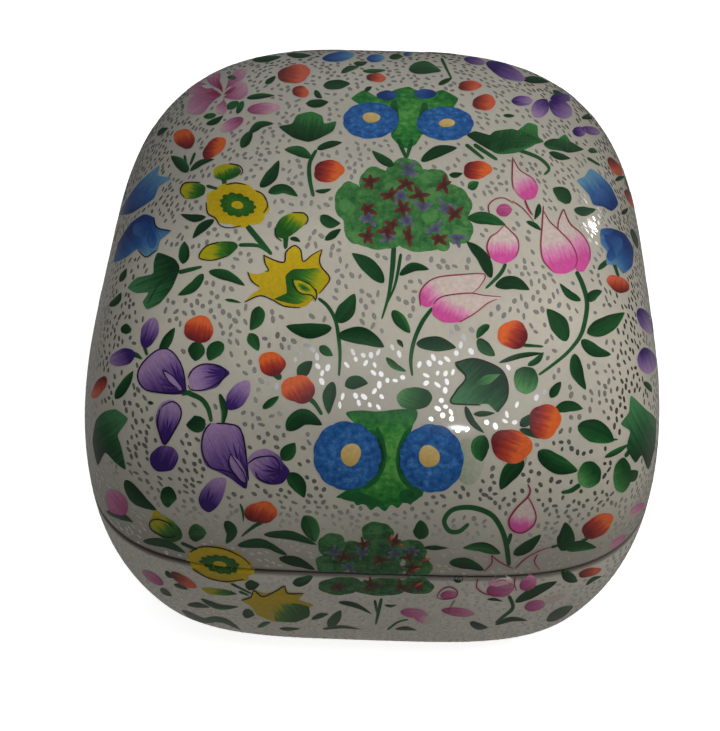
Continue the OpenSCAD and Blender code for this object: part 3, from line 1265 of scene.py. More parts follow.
STEMS = (
    stem((-32.5, 39), (-32, 36), width=0.6), stem((-30.5, 39.5), (-31.5, 37), width=0.6),
    stem((-25.3, 35.5), (-25, 33), width=1.1), stem((-28.5, 33.3), (-26, 32.6), width=0.7),
    stem((-21, 26), (-18.5, 23), (-16.3, 20.5), width=1.2),
    stem((-22.5, 22.3), (-19, 22.2), (-17, 21), width=0.8),
    stem((-13.7, 24.3), (-13.8, 21.5), width=1.1),
    stem((-7.8, 12.5), (-6, 11), (-4.6, 8.5), (-4, 5.5), (-3.7, 2), (-3.9, -2)),
    stem((-33.7, 17.2), (-29.2, 18.3), width=0.9), stem((15, 57), (17, 53), width=0.6),
    stem((-8, 40), (-9.3, 37.5), (-9.3, 34.5), (-8.6, 31.2), width=0.7, taper=1.2),
    stem((7, 42), (8.6, 38.3), width=0.9), stem((9.7, 42), (8.6, 38.3), width=0.9),
    stem((6.3, 22.5), (6, 18), (5.3, 13), (4, 8.5), width=1.1, taper=0.4),
    stem((7.6, 20.8), (6.5, 15), (4.8, 11), width=0.7, taper=0.5),
    stem((21, 41), (25.5, 38), width=0.9), stem((19.5, 41), (23, 38.2), width=0.8),
    stem((29, 40), (33, 38.5), (35, 36.5), (34, 35.3), width=0.8),
    stem((42, 38.5), (44.5, 37), width=0.6),
    stem((40, 17.5), (41.2, 15), (42, 12), (41.8, 9), (40.8, 5.5), (38.5, 2.5), (35.5, 0), (33, -1.8),
        width=1, taper=0.6),
    stem((27, 19), (26, 17), (23.2, 14.2), width=0.8),
    stem((13.5, 10.8), (11.5, 8), (10, 4.5), (9.4, 1), (9.7, -2), width=0.9),
    stem((47, 19), (48, 16), width=0.7), stem((-40, 3.8), (-39.4, 1.8), width=0.8),
    stem((-42.5, 2.6), (-40.3, 1.2), width=0.8),
    stem((-32, -5), (-29.4, -6.2), (-28.1, -8), (-27.5, -10.5), width=1.1),
    stem((-33.2, -5.1), (-31, -5), width=1.2), stem((-15.8, -1.3), (-14.6, -2.6), width=1.6),
    stem((-10.3, -5.5), (-8.5, -6.9), (-7, -9.2), width=1), stem((30, 3.8), (34, 3.5), width=0.7),
    stem((44, -13.7), (47.8, -13.7), width=0.6), stem((40.8, -22), (39, -23.2), (37.2, -23.5), width=1),
    stem((49, -17), (50.5, -15), width=0.9),
    stem((-18, -29), (-19.5, -29.7), (-22, -31.7), width=0.9, taper=0.4),
    stem((-33.2, -32.8), (-30, -34.2), width=0.7),
    stem((27.6, -37.1), (27, -32.7), (25.9, -29.7), (24.1, -27.5), (20.7, -26.3), (17.2, -26.7),
        (15.6, -28.7), (16.5, -30.6), (18.4, -30.7), (20.2, -29.2), width=1.05, taper=0.9),
    stem((28, -31), (27.3, -33.5), width=0.8), stem((35.3, -33.7), (37, -33.2), width=0.6),
    stem((40.2, -33.2), (42.5, -31.7), width=0.8), stem((2.7, -43.3), (3.2, -46), width=0.6),
    stem((4, -43), (2.9, -48), width=0.7),
    stem((27.5, -42.5), (28.3, -44.8), (26.5, -46.5), (25, -47.7), width=0.8),
    stem((-24, -40.3), (-20, -42.3), width=0.5), stem((5, -49), (7, -47.5), (9, -47), width=0.5),
    stem((-22.5, -41.8), (-20.5, -42.6), width=0.5),
)

# Dark side of a bud
LEFT = (-1.0, 0.2)
BUDS = (
    Bud(-32.5, 42, 4, 3.5, (0.3, -1)), Bud(-27, 40.3, 5, 2.9, LEFT, 38),
    Bud(-11, 50.7, 3, 2.2, LEFT, 0, Paint.RED), Bud(-5.8, 36, 5.8, 4, LEFT),
    Bud(3, 53.3, 3.6, 1.6, LEFT, 0, Paint.RED), Bud(20.3, 51.8, 4.5, 1.8, LEFT, 0, Paint.RED),
    Bud(23, 48.7, 4.5, 2.8, LEFT, 0, Paint.RED), Bud(21.7, 36.2, 5, 3.6, LEFT),
    Bud(-29.8, 6.7, 5.8, 4.7, (-0.2, -1)), Bud(-16.3, 0.3, 5.2, 4.3, (0.4, -1)),
    Bud(-11.4, -4.4, 5.9, 5.5, (0.6, -1)), Bud(28.3, 5.7, 6, 4.9, (1, -0.5)),
    Bud(34.2, -10.3, 6.2, 6.1, (-1, 0.3)), Bud(28, -14.9, 7.2, 6.6, (-1, 0.4)),
    Bud(47.8, 15.1, 4.8, 2.6, (0, -1), -35, Paint.RED), Bud(-18.3, -27.2, 5.7, 4.3, (-0.4, -1)),
    Bud(44, -29.7, 6.2, 3.8, (-1, -0.8), 30), Bud(47.2, 36.8, 4.2, 1.6, (0, 1), -50, Paint.RED),
    Bud(-48.3, -4, 4.6, 1.9, (0, 1), 62, Paint.RED),
    Bud(-32.7, -39.8, 5.2, 1.8, (-1, 0.4), -28, Paint.RED),
    Bud(42.5, -38.3, 4.2, 1.6, (-1, 0), 18, Paint.RED), Bud(-12.2, 54, 6.4, 3.2, LEFT, 6, Paint.RED),
    Bud(50.2, 30.8, 4.4, 1.3, (0, 1), -58, Paint.RED),
)

YELLOW_FLOWERS = (
    olive_bloom(((-26.9, 34.8), (-27, 36.4), (-25.2, 37.3), (-23, 37.2), (-22, 36), (-22.8, 35),
        (-24.8, 34.3)), (-0.4, 1), tone=(-0.1, 1.25)),
    ink((-24.3, 37.4), (-22.4, 37), (-21.7, 36), (-22.2, 35.2)),
    olive_bloom(((-33.4, 32.4), (-32.6, 33.8), (-30.5, 33.9), (-28.7, 33.2), (-28.9, 31.7),
        (-30.6, 30.9), (-32.5, 31)), (-1, 0.4), tone=(-0.1, 1.3)),
    ink((-29.5, 33.9), (-32.4, 33.8), (-33.3, 32.3), (-32.4, 31)), Daisy(-22.7, 29.7, 11.4, 8.0, -6),
    ink((-28.5, 30.3), (-28.2, 28.2), (-26.8, 27.3), (-25.8, 25.9), (-23.9, 25.5), (-22, 25.9)),
    ink((-19.4, 32.4), (-17.9, 31.6), (-17.1, 29.7), (-17.9, 28.2)),
    ink((-24.8, 33.5), (-23, 33.8), (-21.2, 33.5)),
    olive_bloom(((-29.8, 20), (-28.6, 21.9), (-26, 22.9), (-23.4, 22.9), (-22.6, 22), (-24.3, 20.3),
        (-27, 19.5)), (-1, 0.1), tone=(-0.1, 1.3)),
    ink((-26, 22.9), (-28.6, 22), (-29.8, 20), (-27.4, 19.5), (-24.5, 20.3)),
    olive_bloom(((-15.7, 25.4), (-14.6, 27.3), (-12.4, 28.3), (-10.3, 28), (-9.9, 26.6), (-11.5, 25),
        (-13.6, 23.6), (-15.3, 23.8)), (0.7, 1), tone=(-0.25, 1.1)),
    ink((-12.6, 28.3), (-10.4, 28.2), (-9.6, 27.1), (-10.2, 26)),
    ink((-15.7, 25.6), (-15.6, 24), (-14.4, 23)),
    yellow_bloom(((-17.8, 20.6), (-16.2, 19.5), (-13.9, 19.2), (-13.4, 21.2), (-12.2, 22.1),
        (-11, 21.3), (-10.5, 19.3), (-8.8, 20.6), (-7, 21.4), (-7.4, 19.6), (-7.2, 18.2), (-5.6, 16.2),
        (-6.1, 15.1), (-7, 13.8), (-8.3, 12.6), (-10, 11), (-12, 10.6), (-14.5, 11.2), (-17, 12.8),
        (-19, 12.8), (-21.3, 11.8), (-20, 13.2), (-18.6, 14.2), (-19.8, 15.4), (-20.9, 17.1),
        (-19, 16.9), (-17, 17.6)), (-0.3, 1), soft=0.35, centre=(-13, 15.5), tone=(0.35, 0.95)),
    olive_bloom(((-13.8, 16.5), (-12.4, 17.8), (-9.8, 17.9), (-7.7, 18), (-6.5, 16), (-7.5, 13.9),
        (-9, 12.4), (-11.8, 11.3), (-15.9, 12.3), (-13.6, 13.3)), (-1, 0.4), 4, 0.5, (-10.8, 14.6),
        (1.0, -0.1)),
    olive_bloom(((-12.3, 15.7), (-10.8, 15.6), (-9.1, 14.7), (-8.4, 13.4), (-9.6, 13.1), (-11.3, 13.7)),
        None, 5, 0.6, None, (0.1, 1.2)),
    ink((-17.8, 20.6), (-17.6, 19), (-16.9, 17.6), (-17.6, 17.5)),
    ink((-20.8, 17.4), (-20, 15.6), (-18.6, 14.6)),
    ink((-21.4, 11.7), (-18.6, 12.9), (-16.3, 12.2), (-14, 11), (-11, 10.7)),
    ink((-17.8, 20.4), (-15.6, 19.4), (-14, 19.2), (-13.7, 21), (-12.2, 22.2), (-11, 21.4),
        (-10.5, 19.3), (-8.8, 20.5), (-7, 21.5)),
    ink((-7, 21.4), (-7.5, 19.6), (-7.1, 18.2), (-5.6, 16.2), (-6.6, 14.4), (-7.6, 13.3)),
    ink((-12.5, 16.2), (-12.2, 14.6), (-11, 13.4), (-9, 13), (-8.2, 12.2), (-8.1, 13.6), (-9.3, 15),
        (-11, 15.8)),
    ink((-8.2, 14.2), (-8, 12.8), (-8.4, 11.8)),
    # low on the lid and on the base
    olive_bloom(((-39, -29.2), (-37.6, -27.4), (-35, -28.6), (-33.2, -30.4), (-33, -32), (-34.8, -32.7),
        (-37.2, -31.5)), (-0.8, 1), tone=(-0.1, 1.2)),
    Petal(Group.YELLOW, Paint.YELLOW, ((-37.2, -28.6), (-38.2, -26.8)), 1.4),
    ink((-34, -31.6), (-36, -31.8), (-38.4, -30.6), (-39, -29.3), (-38, -28.5), (-36, -28.9),
        (-34.6, -30)),
    Daisy(-25.9, -36.8, 12.6, 6.2, -14, 11),
    ink((-31.5, -34.6), (-29.3, -33.6), (-25.5, -33.9), (-22, -35.4), (-20.2, -37)),
    ink((-31, -37.6), (-28.4, -39.2), (-25, -40), (-21.5, -39.6)),
    olive_bloom(((-29.4, -41.2), (-27.5, -41.2), (-24.5, -41.6), (-22.8, -42.3), (-25, -42.6),
        (-28, -42.3)), (-1, 0), tone=(0.0, 1.2)),
    yellow_bloom(((-22, -43.5), (-20.3, -43), (-19.6, -41.7), (-17.5, -42.2), (-15.6, -41.8),
        (-14, -40.9), (-13.2, -42), (-10.4, -42.2), (-11.3, -43.4), (-8.6, -44.4), (-10, -45.2),
        (-9.5, -46.6), (-12, -47.6), (-16, -47.4), (-19, -46.2), (-20.2, -44.6)), (-0.5, 1), soft=0.3,
        centre=(-15, -44.4), tone=(0.3, 0.9)),
    olive_bloom(((-15.8, -44.6), (-12.5, -44), (-9.6, -44.6), (-9.4, -46.4), (-12, -47.5),
        (-15.6, -47.2)), (-0.6, 0.6), 4, 0.6, None, (-0.1, 0.9)),
    ink((-22, -43.5), (-20.2, -42.9), (-19.6, -41.7), (-18, -42.8), (-15.6, -41.8), (-14, -40.9),
        (-13.4, -42.2), (-10.4, -42.2)),
)

ROSE_FLOWERS = (
    # far left
    old_rose_petal(((-25.6, 50), (-28.6, 49.2), (-32, 47)), 3.4, (0, 1), Touch.PETAL),
    old_rose_petal(((-26, 50.6), (-29, 51.2), (-32.4, 51.4)), 2.6, (0, 1), Touch.PETAL),
    old_rose_petal(((-25.8, 51), (-27, 53), (-27.4, 55.2)), 2.8, (0, 0.9), Touch.PETAL),
    old_rose_petal(((-25, 51), (-23.4, 53), (-21, 54.8)), 2.0, (0, 1), Touch.PETAL),
    old_rose_petal(((-25.4, 49.6), (-23.2, 50.4), (-21, 52.2)), 3.2, (0, 0.9), Touch.PETAL, 4),
    old_rose_petal(((-25.2, 49.4), (-25.4, 48), (-26.4, 46.8)), 2.2, (0, 1), Touch.PETAL, 4),
    crimson_hair(((-25.6, 50.2), (-28.6, 50.4)), 0.9),
    crimson_hair(((-25.4, 50.6), (-26.6, 53.2)), 0.8),
    crimson_hair(((-25.2, 50.2), (-22.8, 51.6)), 0.7),
    rose_petal(((-27.4, 51.4), (-29.4, 51.8)), 0.7, (0.9, 1.1), Touch.SLIVER, 5),
    old_rose_petal(((-20.9, 47.3), (-14.8, 47.9)), 2.2, (-0.1, 1.1)),
    old_rose_petal(((-21.6, 45.8), (-25.8, 43.5)), 2.2, (-0.1, 1.1)),
    bract(((-24.8, 47.6), (-22.4, 48.8)), 1.4), bract(((-29, 46), (-26.6, 46.4)), 1.1),
    bract(((-22.8, 46.6), (-21.6, 49)), 1.2), bract(((-24.6, 53.4), (-22.8, 53.2)), 0.9),
    # right: crocus bud, small buds and tulips
    rose_bloom(((28.4, 38), (28.2, 34.5), (28.8, 32.2), (30.3, 30.7), (32.3, 31), (33, 33), (32, 34.6),
        (30, 35.8)), (-0.5, 1), tone=(-0.2, 1.0)),
    rose_line((28.3, 38.6), (28.2, 34.6), (28.4, 32.6)),
    rose_line((28.3, 38.4), (29.6, 36.2), (31.8, 34.8), (32.6, 33.8), width=0.22),
    rose_line((30.5, 30.7), (31.1, 29.2), (32, 27.8), width=0.4),
    rose_line((28.2, 30.5), (29.8, 29.4), (31, 28.2), (32.2, 26.6), width=0.2),
    deep_petal(((25.2, 28.6), (28.2, 28.9)), 2.4, (0.1, 0.4)),
    rose_line((24, 28.2), (23.8, 29.6), (25, 30.8), (26.8, 31), (28.4, 30), width=0.24),
    rose_bloom(((37.7, 28.8), (36.8, 26.5), (36.8, 24.8), (39.1, 22), (40.2, 20), (40, 17.7),
        (41.4, 17.4), (42.6, 19.5), (42.5, 21.8), (41.2, 24.2), (38.9, 26.2)), (-0.3, 1), soft=0.6,
        centre=(40.6, 21.6), tone=(-0.25, 0.95)),
    rose_bloom(((34, 29), (33.8, 25.1), (33.5, 21.8), (34.2, 19.1), (35.9, 17.2), (37.9, 17),
        (39.8, 17.9), (40.2, 20), (39.1, 22.5), (37, 24.8), (35.2, 26.5)), (-0.3, 1), layer=4, soft=0.7,
        centre=(36.8, 21), tone=(-0.2, 1.15)),
    rose_line((34, 29.6), (33.7, 25.5), (33.5, 22), (34, 19.4), (35.6, 17.5)),
    rose_line((34, 28.6), (35.2, 26.6), (37, 24.9), (39.1, 22.6), (40.2, 20), (39.8, 18), width=0.24),
    rose_line((37.7, 29), (36.8, 26.8), (36.7, 25.2)),
    rose_line((37.7, 29), (38.9, 26.3), (41.2, 24.2), (42.5, 21.8), (42.6, 19.6)),
    rose_bloom(((23.6, 21.8), (24, 23.6), (25.4, 24.4), (26.7, 25.8), (27.8, 24.8), (28.9, 23.6),
        (29.3, 21.8), (28.6, 19.8), (26.6, 18.8), (24.6, 19.6)), (0, 1), soft=0.6, tone=(-0.22, 0.9)),
    rose_line((24.2, 19.8), (23.5, 21.8), (24.1, 23.7), (25.4, 24.6), (26.7, 26)),
    rose_line((26.7, 26), (27.9, 24.9), (29.1, 23.6), (29.4, 21.8), (28.8, 20)),
    rose_bloom(((11.2, 11.4), (11.1, 13.4), (12.3, 15.1), (14.3, 16.2), (18, 16.6), (22.9, 16.8),
        (22.2, 14.7), (20.8, 13.4), (16.2, 12.8), (13.9, 11.2), (12.4, 10.8)), (0.8, 0.8), soft=0.6,
        centre=(15.6, 14), tone=(-0.1, 1.5)),
    rose_bloom(((13.5, 11.2), (14.3, 12.2), (16.2, 12.9), (20.4, 13.3), (22.9, 12.9), (26.1, 12.7),
        (23.6, 11.5), (21.3, 9.7), (18.5, 8.1), (15.5, 8), (13.5, 9.4)), (0.5, 1), layer=4, soft=0.7,
        centre=(17.6, 10.8), tone=(-0.2, 1.2)),
    rose_line((11.2, 11), (11.1, 13.4), (12.3, 15.2), (14.3, 16.3), (18, 16.8), (23, 16.9),
        (22.2, 14.7), (20.6, 13.3)),
    rose_line((13.6, 11.3), (14.4, 12.3), (16.2, 13), (20.4, 13.4), (22.9, 13), (26.2, 12.7)),
    rose_line((18.4, 8), (21.3, 9.7), (23.6, 11.5), (25.4, 12.3)),
    # low on the lid
    deep_petal(((-43.4, -27.6), (-46.8, -23.2)), 3.6, (0.2, 0.8)),
    rose_bloom(((31.1, -24.3), (29, -26.4), (27.6, -28.6), (28.1, -30.4), (30, -31), (32, -29.7),
        (32.6, -27.9), (31.9, -25.8)), (0.1, 1), soft=0.7, tone=(-0.25, 1.3)),
    rose_line((31, -21.9), (31.5, -23), (31.1, -24.3), (29, -26.4), (27.6, -28.6), (28.1, -30.4),
        (30, -31), (32, -29.7), (32.6, -27.9), (31.9, -25.8), (31.1, -24.4), width=0.36),
    rose_line((24.3, -35.1), (25.9, -36.4), (28.3, -37.6)),
    rose_line((24.3, -35.1), (24.4, -36.6), (23, -38.2)),
    rose_line((28.8, -37.6), (30.4, -36), (32.6, -34.6), (35.4, -33.6)),
    rose_line((32.9, -34.9), (32.3, -36.4), (33.3, -37.9)),
    deep_petal(((52.6, -25.4), (50, -27.6)), 1.3, (0.4, 1)),
    deep_petal(((49.2, -31.4), (46.2, -33.8)), 1.2, (0.4, 1)),
    # base
    rose_line((21.9, -39.6), (21.6, -41.1), (23.2, -42.3), (25.6, -42.5)),
    deep_petal(((23.4, -41.9), (26.2, -41.3), (28.6, -40.9)), 3.2, (0.1, 0.8)),
    rose_petal(((23.6, -40.4), (28.4, -39.8)), 1.6, (0.3, 0.6)),
    deep_petal(((29.6, -41.3), (32.6, -39.4)), 2.6, (0.1, 0.9)),
    rose_line((29, -38.8), (28.6, -40.4), (29, -41.8)),
    deep_petal(((-36.4, -40.6), (-40.4, -38)), 1.7, (0.2, 0.9)),
    deep_petal(((7.4, -45.6), (12.6, -46.2)), 1.9, (0.2, 0.9)),
    rose_petal(((10, -46.7), (13.8, -47.4)), 1.4, (0, 0.9)),
    deep_petal(((14.8, -42.6), (18, -42.3)), 1.5, (0.1, 0.9)),
    rose_line((14.2, -43), (15, -41.6), (16.6, -41), (18, -41.8), (17.6, -42.9), (15.6, -43.3),
        (14.2, -43)),
    deep_petal(((15, -45.3), (21.2, -46)), 1.7, (0.1, 0.9)),
    deep_petal(((30.4, -44.9), (34.4, -44)), 2.1, (0.2, 0.9)),
    rose_petal(((34, -44), (38.2, -42.4)), 1.3, (0.7, 1.2)),
    rose_line((17.6, -43.4), (16.8, -44.6), (16.2, -46), width=0.2),
)

IRISES = (
    violet_petal(((-40, 3.2), (-38, 8.9)), 3.2, (-0.1, 1.0)),
    violet_petal(((-41.6, 2.4), (-46.4, 0.6)), 3.2, (-0.1, 0.9)),
    violet_bloom(((-41.2, -1.4), (-40.9, -3.2), (-38.9, -4.7), (-35.9, -5.3), (-33.2, -5.3),
        (-32.2, -4.2), (-32.7, -1), (-33.9, 1.6), (-35.5, 3), (-37.4, 2.9), (-39.4, 1.3)), (-0.7, 1),
        tone=(-0.15, 1.1)),
    violet_petal(((-33, -4.6), (-36.4, -1)), 1.1, (0.7, 1.2), layer=5),
    *hairs((-33, -4.4), ((-36.8, -3.9), (-37.8, -3.2), (-37.6, -2), (-36.6, -0.2), (-35.2, 0.8),
        (-34.1, 1), (-33.6, -0.4))),
    *hairs((-24.9, -1.6), ((-28.6, -1.2), (-28.9, -2.2), (-28.2, -0.5), (-28, -3.1), (-26.8, -3.3))),
    *hairs((-36.1, -13.6), ((-36.4, -9.8), (-35.5, -9.4), (-34.7, -10), (-36.8, -11))),
    violet_bloom(((-31.8, -1.8), (-30.9, -0.6), (-29.2, 0.3), (-27, 0.3), (-25.2, -0.4), (-24.1, -1.4),
        (-25.3, -2.6), (-26.5, -4), (-28.9, -4.7), (-31.1, -4.5)), (-1, -0.15), tone=(-0.2, 1.2)),
    violet_bloom(((-37.8, -9.4), (-37.6, -11.6), (-36.2, -14.5), (-34.4, -12.3), (-33.1, -9.7),
        (-33.3, -7.5), (-34.8, -6.3), (-36.8, -7)), (0.2, 1), tone=(-0.2, 1.1)),
    violet_bloom(((-38.7, -16.4), (-36.9, -14.9), (-34.6, -15.2), (-33.6, -17), (-34.8, -19.3),
        (-37.5, -19.6), (-38.8, -18.2)), (0.4, 1), tone=(-0.1, 0.4)),
    violet_petal(((-24.4, -8.2), (-20.6, -2.8)), 3.5, (-0.1, 1.1)),
    violet_bloom(((-27.9, -10.8), (-29.1, -12.3), (-29.5, -15.3), (-28.6, -18.4), (-26.4, -19.6),
        (-24.1, -20.8), (-21.1, -22.8), (-20.8, -19.3), (-21.1, -15.6), (-21.6, -12.7), (-22.9, -11),
        (-25.2, -10.6)), (-0.5, 1), centre=(-24.6, -15.8), tone=(-0.1, 1.0)),
    violet_bloom(((-20.9, -17.9), (-19.6, -16), (-17.4, -15.4), (-15.2, -16.5), (-14.2, -18),
        (-13, -19.7), (-14.4, -21.8), (-17, -22), (-19.2, -20.9)), (-0.8, 0.6), tone=(-0.15, 1.1)),
    violet_bloom(((-24.8, -21), (-27, -20.9), (-29.2, -23), (-29.9, -24.9), (-29.3, -26.4),
        (-27.9, -27.2), (-26.3, -26), (-25.2, -23.8)), (0.4, 1), tone=(-0.2, 1.1)),
    violet_petal(((-21.2, -21.6), (-24, -16.6)), 1.9, (0.6, 1.1), layer=5),
    *hairs((-21.6, -21.4), ((-21.8, -16), (-22.4, -14.6), (-23.6, -13.9), (-24.8, -14.6), (-26, -16),
        (-27, -17.8), (-26.4, -18.9))),
    *hairs((-14.2, -19.8), ((-18, -18.3), (-18.4, -19.4), (-17.8, -20.6), (-16.8, -17.3),
        (-16.4, -21.2))),
    *hairs((-28.6, -26.2), ((-28.8, -23.4), (-27.8, -22.6), (-26.8, -23.4))),
    iris_line((-32.2, -4.6), (-34.5, -5.1), (-37.2, -5), (-39.8, -4.4), (-41.1, -2.6), (-40.9, -0.6),
        (-39.4, 1.4), (-37.4, 2.9), (-35.5, 3), (-33.9, 1.6), (-32.7, -1), (-32.2, -4.6)),
    iris_line((-36.6, -0.8), (-35.4, -2.9), (-33.6, -4.3), width=0.22),
    iris_line((-36.6, -0.8), (-34.6, -2), (-32.6, -4.6), width=0.22),
    iris_line((-31.9, -2.4), (-30.9, -0.7), (-29.2, 0.2), (-27, 0.2), (-25.3, -0.5), (-24.9, -1.8),
        (-26.4, -3.3), (-28.9, -4.5), (-31.2, -4.5), (-31.8, -3.6)),
    iris_line((-37, -8), (-37.5, -10.4), (-37.2, -12.4), (-36.2, -14.6), (-34.6, -12.4), (-33.2, -9.6),
        (-33.3, -7.8), (-34.6, -6.7), (-36.3, -7.3), (-36.8, -8)),
    iris_line((-27.6, -10.6), (-28.8, -12.2), (-29.3, -14.6), (-28.9, -17), (-27.4, -19), (-25, -19.5),
        (-23.2, -20.3), (-21.2, -22.6)),
    iris_line((-26.6, -10.7), (-24.6, -10.8), (-22.6, -11.3), (-21.7, -13), (-21.2, -15.6),
        (-20.9, -18.4), (-20.6, -21.4)),
    iris_line((-24, -16.3), (-24.3, -18.4), (-22.9, -20.4), (-21.2, -22.3), width=0.24),
    iris_line((-24, -16.3), (-22.7, -18.2), (-21.4, -20.2), (-21, -22), width=0.24),
    iris_line((-20.8, -18.2), (-19.4, -17.2), (-17.4, -16.8), (-15.8, -17), (-14.9, -18.4),
        (-15.2, -20)),
    iris_line((-19.4, -19.7), (-18.5, -21.1), (-16.4, -21.8)),
    # right edge and far side
    violet_petal(((51.6, 10.6), (54.2, 5.8)), 2.6, (0, 1)),
    violet_petal(((52.6, 3.4), (53.6, -1.6)), 3.4, (0, 1)),
    violet_petal(((19.2, 56.8), (23.2, 56)), 1.4, (0.2, 0.9)),
    violet_petal(((23.3, 56.1), (30.6, 52.9)), 2.5, (-0.1, 0.9)),
    violet_petal(((28, 49), (32, 49)), 2, (0, 1)),
    violet_petal(((34.6, 49.3), (32.2, 46)), 3, (-0.1, 1)),
    violet_petal(((35, 48.9), (39.2, 46.2)), 3.2, (-0.1, 1)),
    violet_petal(((35.2, 49.4), (39, 49.6)), 2, (-0.1, 0.7)),
    violet_petal(((39.3, 43.4), (41.9, 43.2)), 2, (0, 0.8)),
    violet_petal(((41, 44), (44.5, 43)), 1.5, (0.1, 0.9)),
)

BELLS = (
    bell(((-44.6, 28), (-42.6, 31.6), (-40.6, 34.2), (-37.2, 37), (-37.4, 35.2), (-35, 34.7),
        (-37.2, 33.2), (-38.2, 31), (-40.4, 29.4), (-42.4, 28.2)), (0.7, 1), soft=0.6, centre=(-40, 32),
        tone=(-0.1, 1.1)),
    bell(((-45.6, 19.2), (-44.6, 23), (-42.4, 26.4), (-40, 28), (-38.2, 27.4), (-37.8, 25.6), (-35, 25),
        (-37, 23.2), (-37.6, 21.2), (-39.6, 20.2), (-41.2, 21.6), (-43.4, 20)), (0.6, -0.8), soft=0.6,
        centre=(-40.6, 24), tone=(-0.15, 1)),
    navy_petal(((-43.6, 28.6), (-40, 31.8)), 2.6, (0.1, 1.0)),
    navy_petal(((-38.4, 26.6), (-42, 24.4)), 2.8, (0.0, 1.0)),
    navy_petal(((-38.8, 26), (-38.4, 21.6)), 2.0, (0.1, 1.2)),
    navy_petal(((46.6, 29.2), (43.6, 32.6)), 2.6, (0, 1.1)),
    navy_petal(((45, 24.4), (48.4, 21.6)), 3.0, (0, 1.0)),
    navy_petal(((46.6, 22.4), (46.4, 19.2)), 1.8, (0.1, 1.0)),
    Line(Group.BELLS, Paint.INK, ((-38.2, 27.5), (-37.6, 25.6), (-35, 24.9)), 0.24),
    Line(Group.BELLS, Paint.INK, ((-41.2, 21.5), (-39.6, 20.1), (-37.8, 21.4)), 0.24),
    bell(((40.2, 34.2), (41.6, 35), (42.6, 36.4), (44.4, 35.4), (46.4, 33.2), (47.8, 30), (46.6, 28.6),
        (45, 29.4), (43.2, 29.8), (42.4, 31.6)), (-0.6, 1), soft=0.6, tone=(-0.15, 1.1)),
    bell(((44.6, 25.2), (46.6, 25.4), (49, 24.4), (50.6, 21.6), (50.4, 18.4), (48.8, 17), (47.4, 18.6),
        (45.6, 18.8), (45.8, 21), (44.6, 22.6)), (-0.8, -0.6), soft=0.6, tone=(-0.15, 1.1)),
    bell_petal(((-7, 56.8), (-1, 57.6)), 1.8, (0, 1)),
    bell_petal(((1.2, 56.8), (4.6, 57)), 1.5, (0, 1)),
    bell_petal(((8, 57.6), (9.8, 57.8)), 0.9, (0, 1)),
    bell_petal(((3, 50.1), (7, 50)), 1.7, (-0.1, 0.4)),
    bell_petal(((14.2, 50.3), (10, 50.3)), 1.9, (-0.1, 0.4)),
)

DISCS = (
    backing(((-1.6, 49.4), (0.8, 51), (3, 49.8), (7, 51.2), (9, 51.6), (10.4, 51), (13.4, 50.6),
        (15.4, 51), (18.2, 49.4), (16.6, 47), (12, 45), (11.4, 42.6), (10.2, 40.8), (8.6, 40.2),
        (7.2, 40.8), (5.8, 42.4), (5.6, 45), (1.6, 47.4)), None, 1, 0.5, (8.4, 46.6), (0.7, 0.35)),
    backing_shade(((6.8, 49), (7.2, 46), (6.6, 43.4), (5.8, 43.6), (5.6, 48.4)), None, 2),
    backing_shade(((11.6, 48.6), (10.8, 46), (11, 43), (12.2, 43.2), (12.6, 48)), None, 2),
    BlueDisc(2, 45.4, 10.4, 6.7, 2.1, 45.9, 3.1, 2),
    BlueDisc(15.8, 44.8, 10.4, 6.3, 16.1, 44.9, 2.9, 1.6),
    backing(((-2.6, -8.7), (0.2, -8.3), (3.4, -8.5), (7, -8.1), (10.4, -8.2), (10.4, -10), (8.6, -11.6),
        (7.9, -14), (7.4, -17.6), (8.6, -20.4), (11.6, -22.4), (11.5, -24.2), (10.2, -24.6),
        (9.4, -25.8), (8.2, -25.2), (7, -26.4), (5.8, -25.8), (4.6, -27), (3.2, -26.1), (2, -26.8),
        (0.8, -25.6), (-0.6, -25.9), (-1.6, -24.8), (-4.4, -24.4), (-2.4, -23.4), (0.8, -22.4),
        (3.4, -20), (4.4, -16.6), (3.6, -13.4), (1.6, -11.4), (-1.4, -10.2)), None, 1, 0.9, (6, -17.5),
        (0.85, 0.3)),
    backing_shade(((3.2, -11.4), (4.4, -13.4), (4.9, -16.4), (4.4, -19.4), (2.8, -21.8), (0.6, -22.8),
        (2, -19), (3, -16), (2.6, -13)), None, 2, 0.9, (3.7, -16.6)),
    backing_shade(((9.8, -11), (8, -12.8), (6.9, -15.4), (6.7, -18.6), (7.8, -21.6), (10.8, -23.6),
        (11, -21), (9, -19), (8.4, -16), (9, -13)), None, 2, 0.9, (7.9, -17)),
    backing_shade(((7.6, -23.2), (10.8, -22.8), (11.4, -24), (9.6, -25.4), (7.4, -25.2)), None, 2, 0.8,
        None, (0.6, 0.9)),
    backing_shade(((-3.4, -24.6), (-0.4, -23.4), (2.4, -24.4), (4.4, -25.6), (2, -26), (-0.4, -25.4)),
        None, 2, 0.8, None, (0.6, 0.9)),
    thin_wash(((17.4, -15.6), (19.6, -13.4), (22.4, -14.4), (23, -18.4), (21, -22), (18.6, -21.4),
        (17.6, -18.6)), (1, 0.3), 1, 0.9),
    thin_wash(((26.6, -13.6), (29.4, -13.2), (31, -16.6), (29.6, -20), (27.4, -19.6), (26, -16.6)),
        (-1, 0.2), 1, 0.9),
    BlueDisc(-2.4, -16.7, 12.6, 12.6, -1.7, -16.5, 3.8, 4.1),
    BlueDisc(13.3, -17.2, 11.7, 12.7, 12.8, -16.8, 3.7, 4.3),
)

